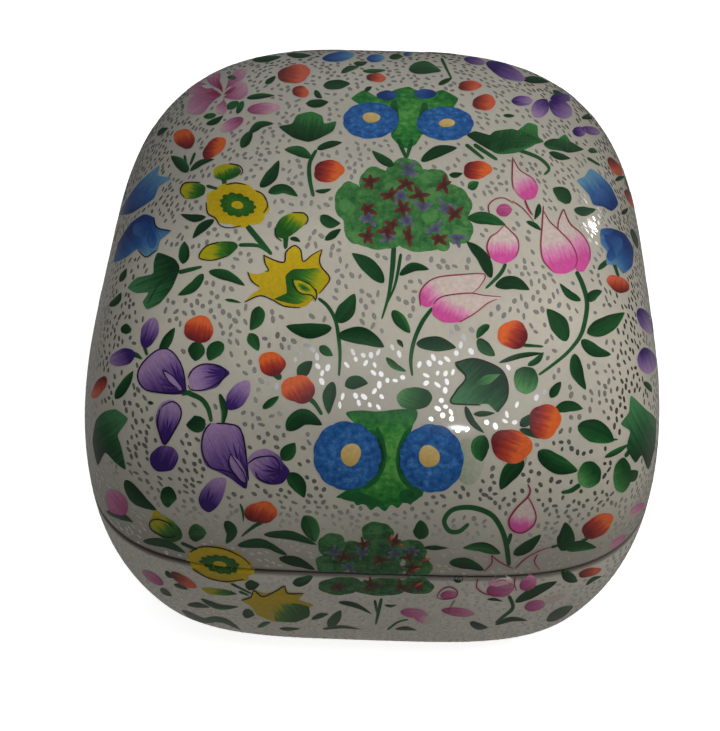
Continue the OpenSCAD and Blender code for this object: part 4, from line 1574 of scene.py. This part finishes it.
BUSHES = (
    Bush(
        dabs=((1.8, 30.4, 5, 4.6), (-1.8, 30, 5.6, 8), (3, 33, 7, 7), (8.5, 35, 7.4, 7),
            (13.4, 32.6, 7, 7.4), (17.4, 30, 6.6, 6.6), (1, 26, 8, 8), (7, 28, 9, 9),
            (13, 26.6, 9, 8.4), (18, 25.4, 5.6, 6.4), (4, 23.6, 8, 4.6), (11.4, 23.2, 9, 4.2)),
        pale=((-2.5, 29.3), (13.5, 31.5), (13, 27.5), (-1, 24), (18.5, 24.5), (15, 22.6), (2, 35),
            (12, 35), (6.4, 33)),
        brown=((2, 34), (15.5, 33.5), (5.5, 31.5), (11, 31.5), (7.8, 29), (1.2, 29), (17.5, 28),
            (6, 26), (5, 25), (1.3, 24), (9, 24), (14.5, 23.4), (8.6, 33.6)),
        mauve=((9, 36.3), (7.5, 31.5), (1.5, 27.5), (16, 29), (8.5, 27), (14, 25.3), (18, 23.6),
            (5.5, 23.8), (11.6, 29.4)),
    ),
    Bush(
        dabs=((-5.2, -33.4, 5.4, 4.6), (3.2, -31, 5.6, 4.4), (-1, -35.2, 7.2, 5.6),
            (4.6, -34.6, 8, 5.6), (9.6, -34.4, 5.6, 4.4), (-4.8, -36.6, 6.6, 3.6),
            (10.8, -37.2, 5.4, 3.6), (3.2, -37.6, 11, 3), (-3.6, -40.8, 8, 3.4), (4, -41, 10, 3.4),
            (10.4, -40.8, 6.4, 3.2)),
        pale=((3, -30.4), (-5.6, -32.6), (11.6, -37.4), (-6.4, -37.4), (8.6, -33.4)),
        brown=((-3, -35.5), (4, -36), (9, -35.5), (6.5, -32.6), (9.5, -37.3), (-4, -41), (7.5, -41),
            (10.5, -40.8), (0.6, -33), (2, -40.6)),
        mauve=((0.4, -34.6), (6.4, -34.6), (-2, -37.2), (-4.6, -34.6), (9.6, -34.4)),
        red=((5.6, -33, 5.9, -31.2), (6.9, -33.1, 8, -33.2), (10.6, -36.2, 13.2, -35.8),
            (8.8, -38.4, 11.2, -37.4), (9.4, -41.4, 11.8, -40)),
        squash=0.7,
        paint=Paint.OLD_BUSH,
        twig=0.55,
    ),
)

IVY = (
    ivy(((-33.4, 18), (-34.4, 19.8), (-37.4, 20.9), (-38.2, 19), (-38.4, 17), (-41.4, 16.2),
        (-43, 14.4), (-41.4, 13.4), (-39.2, 13.5), (-40.2, 11.8), (-39.4, 10.4), (-37, 11.6),
        (-34.8, 14.4)), (-1, -0.4), soft=0.6, centre=(-36.8, 16.2)),
    ivy_vein(((-33.8, 17), (-36.8, 15.6), (-39.4, 11.4))),
    ivy_vein(((-34.4, 17.2), (-37.8, 16.4), (-41.6, 14.8))),
    lobed_leaf(((-15, 44.2), (-12.6, 44.8), (-11.6, 46.4), (-9, 47), (-7, 46.2), (-6.6, 44.8),
        (-4.4, 45.2), (-5, 43.4), (-7.6, 42), (-9.6, 41.4), (-12.4, 42.2)), (0.2, 1), 2, 0.6,
        (-9.6, 43.6)),
    lobed_leaf(((19.8, 42.6), (21.4, 43.4), (23.6, 42.4), (25, 43.4), (28.4, 43.8), (30.4, 42.6),
        (31, 44.9), (32.8, 44.4), (33, 42.4), (34, 41.4), (30, 40.4), (25.4, 39.4), (22.4, 40.8)),
        (0.4, 1), 2, 0.6, (27, 41.8)),
    lobed_leaf(((34, 41), (36.4, 41.8), (38, 42.8), (39.2, 41.2), (41.4, 40), (38.6, 39.4)), (0.2, 1),
        2, 0.6),
    ivy(((-48.9, -10.2), (-47.4, -8.6), (-45.3, -8.1), (-43, -9.8), (-44, -11.5), (-44.9, -12.9),
        (-44.3, -14.8), (-43.4, -19.2), (-45.3, -18), (-47.2, -16.1), (-48.6, -18.4), (-49.5, -14)),
        (0.6, 0.4), soft=0.6, centre=(-46.6, -13)),
    ivy(((17.6, 0.65), (20.7, 1.3), (23.7, 0.65), (26.3, -0.9), (27.4, -3.4), (27.2, -6.2),
        (25.5, -8.7), (23.7, -7.1), (21, -7.2), (16.8, -6.8), (17.9, -4.5), (19.6, -2.2), (18, -0.6)),
        (-0.8, -0.8), soft=0.4, centre=(22.6, -3.4), tone=(-0.1, 1.0)),
    Petal(Group.IVY, Paint.POD, ((21.2, -3.6), (26, -1.6)), 1.6, (0.4, 0.9), Touch.SLIVER, 4),
    Line(Group.IVY, Paint.INK, ((17.6, 0.3), (19.6, -2.2), (17.9, -4.6), (16.8, -6.8), (19.4, -7.2),
        (22.4, -7.3)), 0.34, 5),
    Line(Group.IVY, Paint.INK, ((17.6, 0.5), (20.7, 1.3), (23.7, 0.6), (26.3, -0.9), (27.4, -3.4),
        (27.2, -6.2), (25.5, -8.6)), 0.26, 5),
    pod(((28.5, -2.6), (28.9, -0.9), (30.4, -0.2), (32.2, -0.6), (33, -2.4), (32.5, -4.4), (30.8, -5.3),
        (29.1, -4.5)), (-0.4, -1), tone=(-0.1, 1)),
    pod(((6.8, -5.8), (8, -4.4), (10.4, -4), (12.6, -4.6), (13.4, -6), (12.4, -7.6), (10, -8.2),
        (7.6, -7.6)), (-1, 0.4), 3, tone=(-0.2, 0.9)),
    pod(((40.3, -20), (41.4, -18), (43.2, -17.8), (44.6, -19.4), (44.3, -21.6), (42.4, -22.7),
        (40.6, -21.9)), (-0.8, -0.6), tone=(-0.2, 1)),
    pod(((46.9, -21), (47.3, -18.4), (48.8, -17), (50.1, -18.8), (50, -21.8), (48.8, -23.5),
        (47.4, -23)), (-1, -0.5), tone=(-0.2, 0.8)),
    ivy(((50.2, -5.6), (49.8, -8.6), (48.3, -10.8), (50, -12.2), (49.4, -15.2), (51, -18),
        (52.2, -16.6), (53.4, -19.2), (54.6, -15), (54.8, -10), (52.8, -8)), (-0.4, 0.8), soft=0.6,
        centre=(51.8, -12)),
)


class Ornament:
    """The whole painting of the sheet, leaves first and ivy last."""

    def draw(self, painter: Painter) -> None:
        """Paints one sheet."""
        for numbers in LEAVES:
            painter.leaf(*numbers)
        for motifs in (STEMS, BUDS, YELLOW_FLOWERS, ROSE_FLOWERS, IRISES, BELLS, DISCS, BUSHES, IVY):
            for motif in motifs:
                motif.draw(painter)


@dataclass(frozen=True)
class Side:
    """Which part of the sheet is repeated on a side of the box."""

    quarters: int
    half_width: float


SIDES = (Side(2, 60.0), Side(1, 29.0), Side(3, 29.0))
# Cosine to the camera from which on the photo shows a point
SEEN = 0.1
# Distances that keep the films of paint apart, above the ground and from each other
LAYER_MM = 0.012
FIRST_LAYER_MM = 0.02
# Half of the gap in the seam, and the lowest paint above the table
RIM_GAP = 0.02
LOWEST_PAINT = 0.7


def film_inset(layer: int | np.ndarray) -> float | np.ndarray:
    """How far a film of paint lies below the full size of the box."""
    return FORM.ground_inset - FIRST_LAYER_MM - LAYER_MM * layer


@dataclass
class Film:
    """The paint of one kind of motif on one body, ready to become a mesh."""

    points: list[np.ndarray] = field(default_factory=list)
    quads: list[np.ndarray] = field(default_factory=list)
    paint: list[np.ndarray] = field(default_factory=list)
    which: list[np.ndarray] = field(default_factory=list)
    pigments: list[Paint] = field(default_factory=list)
    count: int = 0

    def add(self, points: np.ndarray, quads: np.ndarray, paint: np.ndarray, pigment: Paint) -> None:
        """Adds a patch's faces and the vertices that they use.

        Args:
            points: Vertices of the patch.
            quads: Faces to add.
            paint: Brush coordinates of the vertices.
            pigment: Paint of the patch.
        """
        used, numbers = np.unique(quads, return_inverse=True)
        if pigment not in self.pigments:
            self.pigments.append(pigment)
        self.points.append(points[used])
        self.paint.append(paint[used])
        self.quads.append(numbers.reshape(-1, 4) + self.count)
        self.which.append(np.full(len(quads), self.pigments.index(pigment)))
        self.count += len(used)


def held_to(body: Body, points: np.ndarray, inset: float) -> np.ndarray:
    """Keeps points on one body.

    Args:
        body: The body.
        points: Points on the box.
        inset: How far below the full size they lie.

    Returns:
        The points, drawn in over the body's rounded rim and held at its edge.
    """
    z = points[:, 2]
    if body is Body.LID:
        height = np.maximum(z, FORM.seam_z + RIM_GAP)
    else:
        height = np.clip(z, LOWEST_PAINT, FORM.seam_z - RIM_GAP)
    near = np.abs(height - FORM.seam_z) < 2 * FORM.rim_r
    near |= height != z
    size = outline_size(points[:, 0], points[:, 1], FORM.square(height))
    half = FORM.outer_half(height, np.full(len(z), inset)) - FORM.rim(height)
    scale = np.where(near, half / size, 1.0)
    return np.column_stack([points[:, 0] * scale, points[:, 1] * scale, height])


class Painting:
    """Lays the sheet's patches on the box and makes the pieces of paint."""

    def __init__(self) -> None:
        self.films: dict[tuple[Body, Group], Film] = {}
        self.covered: list[np.ndarray] = []

    def lay(self, patches: list[Patch], quarters: int = 0, half_width: float | None = None) -> None:
        """Lays patches on the box.

        Args:
            patches: Patches of the sheet.
            quarters: Quarter turns of the sheet about the box.
            half_width: Keeps only patches within this distance of the sheet's middle that end up
                where the photo doesn't see them. None keeps all.
        """
        if half_width is not None:
            patches = [p for p in patches if np.abs(p.points[:, 0]).max() < half_width]
        sizes = [len(p.points) for p in patches]
        inset = np.repeat([film_inset(p.layer) for p in patches], sizes)
        points = onto_box(np.vstack([p.points for p in patches]), inset)
        points = turned(points, quarters)
        seen = facing(points) > SEEN if half_width is not None else np.zeros(len(points), bool)
        start = 0
        for patch, size in zip(patches, sizes):
            own = points[start : start + size]
            hidden = not seen[start : start + size].any()
            start += size
            if hidden:
                self.lay_patch(patch, own)

    def lay_patch(self, patch: Patch, points: np.ndarray) -> None:
        """Divides a patch at the seam and keeps its parts.

        Args:
            patch: The patch of the sheet.
            points: Its vertices on the box.
        """
        self.covered.append(points)
        self.covered.append(points[patch.quads].mean(axis=1))
        z = points[patch.quads, 2]
        parts = ((Body.LID, z.max(1) > FORM.seam_z + RIM_GAP),
                 (Body.BASE, z.min(1) < FORM.seam_z - RIM_GAP))
        for body, belongs in parts:
            if belongs.any():
                film = self.films.setdefault((body, patch.group), Film())
                placed = held_to(body, points, film_inset(patch.layer))
                film.add(placed, patch.quads[belongs], patch.paint, patch.pigment)

    def pieces(self, paints: dict[Paint, Material]) -> list[tuple[Object, Body]]:
        """Makes one piece for each kind of motif on each body.

        Args:
            paints: Materials by paint.

        Returns:
            The pieces, each with its body.
        """
        made = []
        for (body, group), film in self.films.items():
            piece = mesh_object(
                f"{body.value}_{group.value}", np.vstack(film.points), np.vstack(film.quads),
                [paints[p] for p in film.pigments], np.vstack(film.paint), np.concatenate(film.which))
            made.append((piece, body))
        return made


# Silver dashes

@dataclass(frozen=True)
class Dashes:
    """Short dashes of silver that fill the ground between the motifs.

    They lean by a scattered angle from the way up the sheet. Sizes are the least and the greatest
    share of their length and width. Tries are points scattered on a tries_area of square millimetres.
    """

    spacing: float = 1.06
    length: float = 1.08
    width: float = 0.68
    lean: float = math.radians(18)
    scatter: float = math.radians(30)
    tries: int = 180000
    cell: float = 0.38
    corners: int = 8
    seed: int = 5
    seam_clear: float = 1.3
    foot_clear: float = 3.0
    sizes: Pair = (0.72, 1.15)
    core: float = 0.05
    crown_slope: float = 0.2
    tries_area: float = 40000
    lid_rows: int = 200
    base_rows: int = 80
    columns: int = 360

    def scattered(self, random: np.random.Generator) -> np.ndarray:
        """Scatters points over the surface, by area, and drops those too close to one that is kept.

        Args:
            random: Source of random numbers.

        Returns:
            Points, no two closer than the spacing.
        """
        inset = float(film_inset(0))
        lid_z = lid_heights(self.lid_rows, inset)
        base_z = np.linspace(FORM.seam_z - FORM.rim_r, self.foot_clear, self.base_rows)
        accepted: list[np.ndarray] = []
        for z, half in ((lid_z, FORM.lid_half(lid_z, inset)), (base_z, FORM.wall_half(base_z, inset))):
            grid = meridian(half, z).points(self.columns)
            nxt = np.roll(grid, -1, axis=1)
            area = np.linalg.norm(np.cross(nxt[:-1] - grid[:-1], grid[1:] - grid[:-1]), axis=2)
            share = area.ravel() / area.sum()
            count = int(self.tries * area.sum() / self.tries_area)
            pick = random.choice(area.size, count, p=share)
            row, column = np.divmod(pick, area.shape[1])
            a, b = random.random((2, count, 1))
            low = grid[row, column] * (1 - a) + nxt[row, column] * a
            high = grid[row + 1, column] * (1 - a) + nxt[row + 1, column] * a
            accepted.append(low * (1 - b) + high * b)
        kept: dict[tuple[int, int, int], list[np.ndarray]] = {}
        chosen = []
        for point in np.vstack(accepted):
            cell = tuple(int(c) for c in point // self.spacing)
            around = (kept.get((cell[0] + i, cell[1] + j, cell[2] + k), ())
                      for i in (-1, 0, 1) for j in (-1, 0, 1) for k in (-1, 0, 1))
            if all(((point - other) ** 2).sum() > self.spacing**2 for near in around for other in near):
                kept.setdefault(cell, []).append(point)
                chosen.append(point)
        return np.array(chosen)

    def free(self, points: np.ndarray, covered: np.ndarray) -> np.ndarray:
        """Finds room between the motifs with a grid of small cells.

        Args:
            points: Points on the box.
            covered: Points that the motifs cover.

        Returns:
            Whether each point lies clear of the motifs.
        """
        low = covered.min(0) - 4 * self.cell
        shape = np.ceil((covered.max(0) - low) / self.cell).astype(int) + 5
        taken = np.zeros(shape, bool)
        taken[tuple(((covered - low) / self.cell).astype(int).T)] = True
        for axis in range(3):
            taken |= np.roll(taken, 1, axis) | np.roll(taken, -1, axis)
        index = np.clip(((points - low) / self.cell).astype(int), 0, shape - 1)
        return ~taken[tuple(index.T)]

    def build(self, covered: np.ndarray, material: Material) -> list[tuple[Object, Body]]:
        """Makes the dashes of both bodies, each a small oval.

        Args:
            covered: Points that the motifs cover.
            material: The silver.

        Returns:
            The pieces, each with its body.
        """
        random = np.random.default_rng(self.seed)
        points = self.scattered(random)
        points = points[self.free(points, covered)]
        points = points[np.abs(points[:, 2] - FORM.seam_z) > self.seam_clear]
        out = normals(points)
        right, up, _ = VIEW.axes()
        along = up - (out @ up)[:, None] * out
        flat = np.linalg.norm(along, axis=1) < self.crown_slope
        along[flat] = right
        along /= np.linalg.norm(along, axis=1, keepdims=True)
        side = np.cross(along, out)
        turn = self.lean + random.normal(0, self.scatter, len(points))
        c, s = np.cos(turn)[:, None], np.sin(turn)[:, None]
        along, side = c * along - s * side, s * along + c * side
        size = random.uniform(*self.sizes, (len(points), 2))
        angle = np.linspace(0, 2 * math.pi, self.corners, endpoint=False)
        ring_a = (self.length / 2 * size[:, :1] * np.cos(angle))[..., None]
        ring_b = (self.width / 2 * size[:, 1:] * np.sin(angle))[..., None]
        ring = points[:, None] + ring_a * along[:, None] + ring_b * side[:, None]
        core = points[:, None] + self.core * (ring - points[:, None])
        both = np.concatenate([core, ring], axis=1)
        quads = grid_quads(2, self.corners, True)
        made = []
        above = points[:, 2] > FORM.seam_z
        for body, own in ((Body.LID, above), (Body.BASE, ~above)):
            mine = both[own]
            starts = (np.arange(len(mine)) * 2 * self.corners)[:, None, None]
            piece = mesh_object(f"{body.value}_silver_dashes", mine.reshape(-1, 3),
                                (quads[None] + starts).reshape(-1, 4), [material])
            made.append((piece, body))
        LOG.info("%d silver dashes", len(points))
        return made


# Shells, ground and collar

# Steps round the box outside and inside, and along each stretch of a meridian
COLUMNS = 480
INSIDE_COLUMNS = 240
EDGE_STEPS = 9
LID_STEPS = 150
WALL_STEPS = 40
FOOT_STEPS = 14
INSIDE_STEPS = 60
INSIDE_WALL_STEPS = 30
INSIDE_ROLL_STEPS = 12
FLOOR_STEPS = 24
COLLAR_WALL_STEPS = 8
COLLAR_EDGE_STEPS = 6
# Ring next to the edge of the coat on the flat rim, and radius of the rim's inner edge
RIM_RING = 1.2
INNER_EDGE = 0.3
# Heights in which the foot's coat ends in the flat underside
FOOT_LEVELS = (0.2, 0.06, 0.0)


class PlainParts:
    """The painted ground, the black insides, the foot and the collar, in place of the CAD pieces."""

    def __init__(self, lid: Material, base: Material, black: Material) -> None:
        self.lid = lid
        self.base = base
        self.black = black

    def lid_ground(self) -> Object:
        """Outside of the lid from its flat rim to the crown."""
        inset = FORM.ground_inset
        edge = rim_heights(EDGE_STEPS)
        edge_z = FORM.seam_z + RIM_GAP + edge
        edge_half = FORM.lid_half(edge_z, inset) - FORM.rim(FORM.seam_z + edge)
        z = lid_heights(LID_STEPS, inset)[1:]
        half = np.maximum(FORM.lid_half(z, inset), THIN)
        levels = meridian(edge_half, edge_z) + meridian(half, z)
        return swept("lid_ivory_ground", levels, self.lid, COLUMNS)

    def base_ground(self) -> Object:
        """Outside of the base from its flat rim to the foot."""
        inset = FORM.ground_inset
        edge = rim_heights(EDGE_STEPS)
        edge_z = FORM.seam_z - RIM_GAP - edge
        edge_half = FORM.wall_half(edge_z, inset) - FORM.rim(FORM.seam_z - edge)
        wall = np.linspace(FORM.seam_z - FORM.rim_r, FORM.foot_r, WALL_STEPS)[1:]
        last = math.asin(1 - FORM.coat_lift / FORM.foot_r)
        roll = FORM.foot_r * (1 - np.sin(np.linspace(0, last, FOOT_STEPS)[1:]))
        z = np.concatenate([wall, roll])
        levels = meridian(edge_half, edge_z) + meridian(FORM.wall_half(z, inset), z)
        return swept("base_ground_with_painted_light", levels, self.base, COLUMNS)

    def lid_inside(self) -> Object:
        """Flat rim and inside of the lid."""
        inset = FORM.inner_inset
        rim_z = FORM.seam_z + RIM_GAP
        outer = FORM.half - FORM.ground_inset - FORM.rim_r
        rim = meridian([outer, outer - RIM_RING, FORM.half - inset + INNER_EDGE], [rim_z] * 3)
        top = FORM.lid_h - inset
        angle = np.linspace(0, math.pi / 2, INSIDE_STEPS)
        z = FORM.seam_z + top * np.sin(angle) ** (2 / FORM.lid_full)
        z[0] = rim_z + INNER_EDGE
        half = np.maximum(FORM.lid_half(z, inset), THIN)
        return swept("lid_black_inside", rim + meridian(half, z), self.black, INSIDE_COLUMNS)

    def base_inside(self) -> Object:
        """Flat rim, inner wall and floor of the base."""
        inset = FORM.inner_inset
        rim_z = FORM.seam_z - RIM_GAP
        outer = FORM.half - FORM.ground_inset - FORM.rim_r
        rim = meridian([outer, outer - RIM_RING, FORM.half - inset + INNER_EDGE], [rim_z] * 3)
        wall = np.linspace(rim_z - INNER_EDGE, FORM.floor_t + FORM.floor_r, INSIDE_WALL_STEPS)
        angle = np.linspace(0, math.pi / 2, INSIDE_ROLL_STEPS)[1:]
        roll_z = FORM.floor_t + FORM.floor_r * (1 - np.sin(angle))
        roll_half = FORM.wall_half(roll_z, inset, roll=False) - FORM.floor_r * (1 - np.cos(angle))
        upright = meridian(FORM.wall_half(wall, inset, roll=False), wall)
        levels = rim + upright + meridian(roll_half, roll_z)
        floor_half = np.linspace(roll_half[-1], THIN, FLOOR_STEPS)[1:]
        floor = meridian(floor_half, np.full(len(floor_half), FORM.floor_t))
        return swept("base_black_inside", levels + floor, self.black, INSIDE_COLUMNS)

    def foot(self) -> Object:
        """Underside, black from the edge of the ground on."""
        outer = FORM.wall_half(np.array([FORM.coat_lift]), FORM.ground_inset)[0]
        z = np.array([FORM.coat_lift, *FOOT_LEVELS])
        shell = FORM.wall_half(z, FORM.coat_t)
        flat = np.linspace(shell[-1], THIN, FLOOR_STEPS)[1:]
        levels = meridian([outer], [FORM.coat_lift]) + meridian(shell, z)
        levels += meridian(flat, np.zeros(len(flat)))
        return swept("base_black_foot", levels, self.black, INSIDE_COLUMNS)

    def collar(self) -> Object:
        """Strip inside the base's mouth that the lid slips over, its top edge rounded."""
        top, low = FORM.seam_z + FORM.collar_up, FORM.seam_z - FORM.collar_down
        inner, edge = FORM.collar_inner, FORM.collar_edge
        upper = float(FORM.lid_half(np.array([top]), FORM.inner_inset)[0]) - FORM.lid_gap
        wall = np.linspace(low, FORM.seam_z, COLLAR_WALL_STEPS)
        angle = np.linspace(0, math.pi / 2, COLLAR_EDGE_STEPS)
        outer = meridian(FORM.wall_half(wall, FORM.inner_inset + FORM.glue_gap, roll=False), wall)
        start = meridian([inner], [low])
        step = meridian([upper, upper], [FORM.seam_z + RIM_GAP, top - edge])
        rounded = meridian(upper - edge * (1 - np.cos(angle)), top - edge * (1 - np.sin(angle)))
        far = meridian(inner + INNER_EDGE * (1 - np.sin(angle)), top - INNER_EDGE * (1 - np.cos(angle)))
        levels = start + outer + step + rounded + far + start
        flat = Meridian(levels.half, levels.z, np.full(len(levels.z), FORM.seam_square))
        return swept("collar_black_strip", flat, self.black, INSIDE_COLUMNS)


# Stage

@dataclass(frozen=True)
class AreaLamp:
    """A rectangular lamp that looks at a point. Places are in millimetres."""

    name: str
    place: tuple[float, float, float]
    aim: tuple[float, float, float]
    width: float
    height: float
    watts: float
    colour: str = "#ffffff"
    in_lacquer: bool = True
    lights_paint: bool = True

    def build(self) -> None:
        """Hangs the lamp."""
        data = bpy.data.lights.new(self.name, "AREA")
        data.shape = "RECTANGLE"
        data.size = self.width * MM
        data.size_y = self.height * MM
        data.energy = self.watts
        data.color = linear(self.colour)[:3]
        lamp = bpy.data.objects.new(self.name, data)
        lamp.location = Vector(self.place) * MM
        way = Vector(self.aim) - Vector(self.place)
        lamp.rotation_euler = way.to_track_quat("-Z", "Y").to_euler()
        lamp.visible_glossy = self.in_lacquer
        lamp.visible_diffuse = self.lights_paint
        lamp.visible_camera = False
        bpy.context.scene.collection.objects.link(lamp)


BOX_MIDDLE = (0, 0, 45)
LAMPS = (
    AreaLamp("right_softbox", (143, -72, 210), BOX_MIDDLE, 90, 90, 0.128, "#fffaf2",
             in_lacquer=False),
    AreaLamp("front_softbox", (-45, -58, 128), BOX_MIDDLE, 44, 44, 0.0105, "#fffaf2",
             in_lacquer=False),
    AreaLamp("near_softbox", (55, -72, 125), BOX_MIDDLE, 44, 44, 0.0135, "#fffaf2",
             in_lacquer=False),
    AreaLamp("back_softbox", (-60, 320, 130), BOX_MIDDLE, 160, 160, 0.24, "#f6f8ff",
             in_lacquer=False),
    AreaLamp("window_streak", (58, -439, 100), (13, -43, 64), 13, 3.4, 0.085, "#f8faff",
             lights_paint=False),
    AreaLamp("side_streak", (314, 273, 60), (34, -10, 75), 3, 24, 0.03, "#ffffff",
             lights_paint=False),
)


@dataclass(frozen=True)
class SoftWindow:
    """A glowing panel with soft edges in front of the box, which only the silver and lacquer mirror."""

    place: tuple[float, float, float] = (150, -600, 330)
    aim: tuple[float, float, float] = (14, -40, 66)
    width: float = 680.0
    height: float = 640.0
    glow: float = 1.3
    soft_edge: float = 0.42
    colour: str = "#f4f7ff"

    def build(self) -> None:
        """Stands the panel up. Its glow falls from its middle to nothing at its edge."""
        back = Vector(self.aim) - Vector(self.place)
        turn = back.to_track_quat("Z", "Y")
        corners = []
        for i, j in ((-1, -1), (1, -1), (1, 1), (-1, 1)):
            corner = Vector(self.place) + turn @ Vector((i * self.width / 2, j * self.height / 2, 0))
            corners.append(tuple(corner))
        material, tree = new_tree("window_glow")
        fall = add_node(tree, "TexGradient", {"gradient_type": "SPHERICAL",
                                              "Vector": add_node(tree, "UVMap", {"uv_map": "paint"})})
        soft = fade(tree, fall, 0.0, self.soft_edge, 0.0, self.glow)
        glow = add_node(tree, "Emission", {"Color": linear(self.colour), "Strength": soft})
        add_node(tree, "OutputMaterial", {"Surface": glow})
        paint = np.array([[-1, -1], [1, -1], [1, 1], [-1, 1.0]])
        panel = mesh_object("window", np.array(corners), np.array([[0, 1, 2, 3]]), [material], paint)
        panel.visible_camera = False
        panel.visible_diffuse = False
        panel.visible_shadow = False


WHITE = (1, 1, 1, 1)
SKY = (0.9, 0.95, 1.0, 1)
# The floor as the camera, the light on the box and the lacquer meet it
FLOOR_WHITE = (0.9, 0.9, 0.9, 1)
FLOOR_LIFT = 0.84
FLOOR_GREY = (0.74, 0.72, 0.68, 1)
FLOOR_WARM = (1, 0.97, 0.93, 1)
# Light of the room: its ceiling by the square of the height, its walls by height and to the right
CEILING = (0.36, 0.03)
WALLS = (0.13, 0.12)
WALL_SIDE = 0.06
# Glow of the floor in the lacquer, from near the box to far from it
POOL_MM = (90, 170)
POOL_GLOW = (0.19, 0.05)


def by_ray(tree: NodeTree, camera: Node, glossy: Node, other: Node) -> Node:
    """Picks a shader by the kind of ray.

    Args:
        tree: Node tree that gets the nodes.
        camera: Shader that the camera sees.
        glossy: Shader that the lacquer mirrors.
        other: Shader for all else.

    Returns:
        The mix of the three.
    """
    path = add_node(tree, "LightPath")
    unseen = add_node(tree, "MixShader", {0: path.outputs["Is Glossy Ray"], 1: other, 2: glossy})
    return add_node(tree, "MixShader", {0: path.outputs["Is Camera Ray"], 1: unseen, 2: camera})


class Studio:
    """Pale floor, soft light and the camera of the photo."""

    floor_half = 3000.0
    floor_drop = 0.1

    def world(self) -> None:
        """Dim grey room, white where the camera looks past the floor."""
        world = bpy.data.worlds.new("room")
        bpy.context.scene.world = world
        world.use_nodes = True
        tree = world.node_tree
        tree.nodes.clear()
        way = add_node(tree, "TexCoord").outputs["Generated"]
        split = add_node(tree, "SeparateXYZ", {0: way})
        height = split.outputs[2]
        steep = calc(tree, "POWER", calc(tree, "MAXIMUM", height, 0.0), 2.0)
        ceiling = calc(tree, "MULTIPLY_ADD", steep, *CEILING)
        room = add_node(tree, "Background", {"Color": SKY, "Strength": ceiling})
        above = calc(tree, "MULTIPLY_ADD", height, *WALLS)
        beside = calc(tree, "MULTIPLY_ADD", split, WALL_SIDE, above)
        walls = add_node(tree, "Background", {"Color": WHITE, "Strength": beside})
        white = add_node(tree, "Background", {"Color": WHITE, "Strength": 1.0})
        add_node(tree, "OutputWorld", {"Surface": by_ray(tree, white, walls, room)})

    def floor(self) -> None:
        """White floor that keeps the object's shadow and throws little light back up."""
        h, z = self.floor_half, -self.floor_drop
        corners = np.array([[-h, -h, z], [h, -h, z], [h, h, z], [-h, h, z]])
        material, tree = new_tree("white_floor")
        lit = add_node(tree, "BsdfDiffuse", {"Color": FLOOR_WHITE})
        glow = add_node(tree, "Emission", {"Color": WHITE, "Strength": FLOOR_LIFT})
        lifted = add_node(tree, "AddShader", {0: lit, 1: glow})
        grey = add_node(tree, "BsdfDiffuse", {"Color": FLOOR_GREY})
        place = add_node(tree, "NewGeometry")
        away = add_node(tree, "VectorMath", {"operation": "LENGTH", 0: place}).outputs["Value"]
        pool = fade(tree, away, POOL_MM[0] * MM, POOL_MM[1] * MM, *POOL_GLOW)
        dim = add_node(tree, "Emission", {"Color": FLOOR_WARM, "Strength": pool})
        add_node(tree, "OutputMaterial", {"Surface": by_ray(tree, lifted, dim, grey)})
        floor = mesh_object("floor", corners, np.array([[0, 1, 2, 3]]), [material])

    def camera(self) -> None:
        """The photo's camera."""
        data = bpy.data.cameras.new("photo_camera")
        data.sensor_fit = "HORIZONTAL"
        data.sensor_width = VIEW.sensor
        data.lens = VIEW.sensor * VIEW.focal_px / VIEW.image_px
        data.clip_start = 0.01
        data.clip_end = 20
        camera = bpy.data.objects.new("photo_camera", data)
        right, up, back = VIEW.axes()
        place = VIEW.eye() * MM
        turn = np.column_stack([right, up, back, place])
        camera.matrix_world = Matrix([*turn.tolist(), [0, 0, 0, 1]])
        bpy.context.scene.collection.objects.link(camera)
        bpy.context.scene.camera = camera

    def build(self) -> None:
        """Sets up the stage."""
        self.world()
        self.floor()
        for lamp in LAMPS:
            lamp.build()
        SoftWindow().build()
        self.camera()
        bpy.context.scene.view_settings.view_transform = "Standard"


def keep(piece: Object, body: Body, slot: Slot, *nodes: str) -> None:
    """Lets a piece ride on a body and stand for CAD nodes.

    Args:
        piece: The piece.
        body: Body that it rides on.
        slot: Its material slot. Not used.
        nodes: CAD nodes that it replaces.
    """
    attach(piece, body.value)
    if nodes:
        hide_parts(*nodes)
    LOG.info("%s on the %s", piece.name, body.value)


def main() -> None:
    """Builds the box on its frame, then the stage."""
    logging.basicConfig(level=logging.INFO, format="%(message)s")
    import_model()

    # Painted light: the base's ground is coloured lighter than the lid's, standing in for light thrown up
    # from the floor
    base_ground = IvoryGround("base_ground_with_painted_light", colour="#e6e1d4", cloudy="#dcd7cb")
    parts = PlainParts(IvoryGround().material(), base_ground.material(), BlackPaint().material())
    keep(parts.lid_ground(), Body.LID, Slot.GROUND, "lid_coat")
    keep(parts.base_ground(), Body.BASE, Slot.GROUND, "base_coat")
    keep(parts.lid_inside(), Body.LID, Slot.PULP, "lid_shell")
    keep(parts.base_inside(), Body.BASE, Slot.PULP, "base_shell")
    keep(parts.foot(), Body.BASE, Slot.PULP, "base_shell")
    keep(parts.collar(), Body.BASE, Slot.PULP, "rim_collar")

    paints = {paint: paint.value.material() for paint in Paint}
    painter = Painter()
    Ornament().draw(painter)
    painting = Painting()
    painting.lay(painter.patches)
    for side in SIDES:
        painting.lay(painter.patches, side.quarters, side.half_width)
    for piece, body in painting.pieces(paints):
        keep(piece, body, Slot.GROUND)
    silver = SilverLeaf().material()
    for piece, body in Dashes().build(np.vstack(painting.covered), silver):
        keep(piece, body, Slot.GROUND)

    Studio().build()


if __name__ == "__main__":
    main()
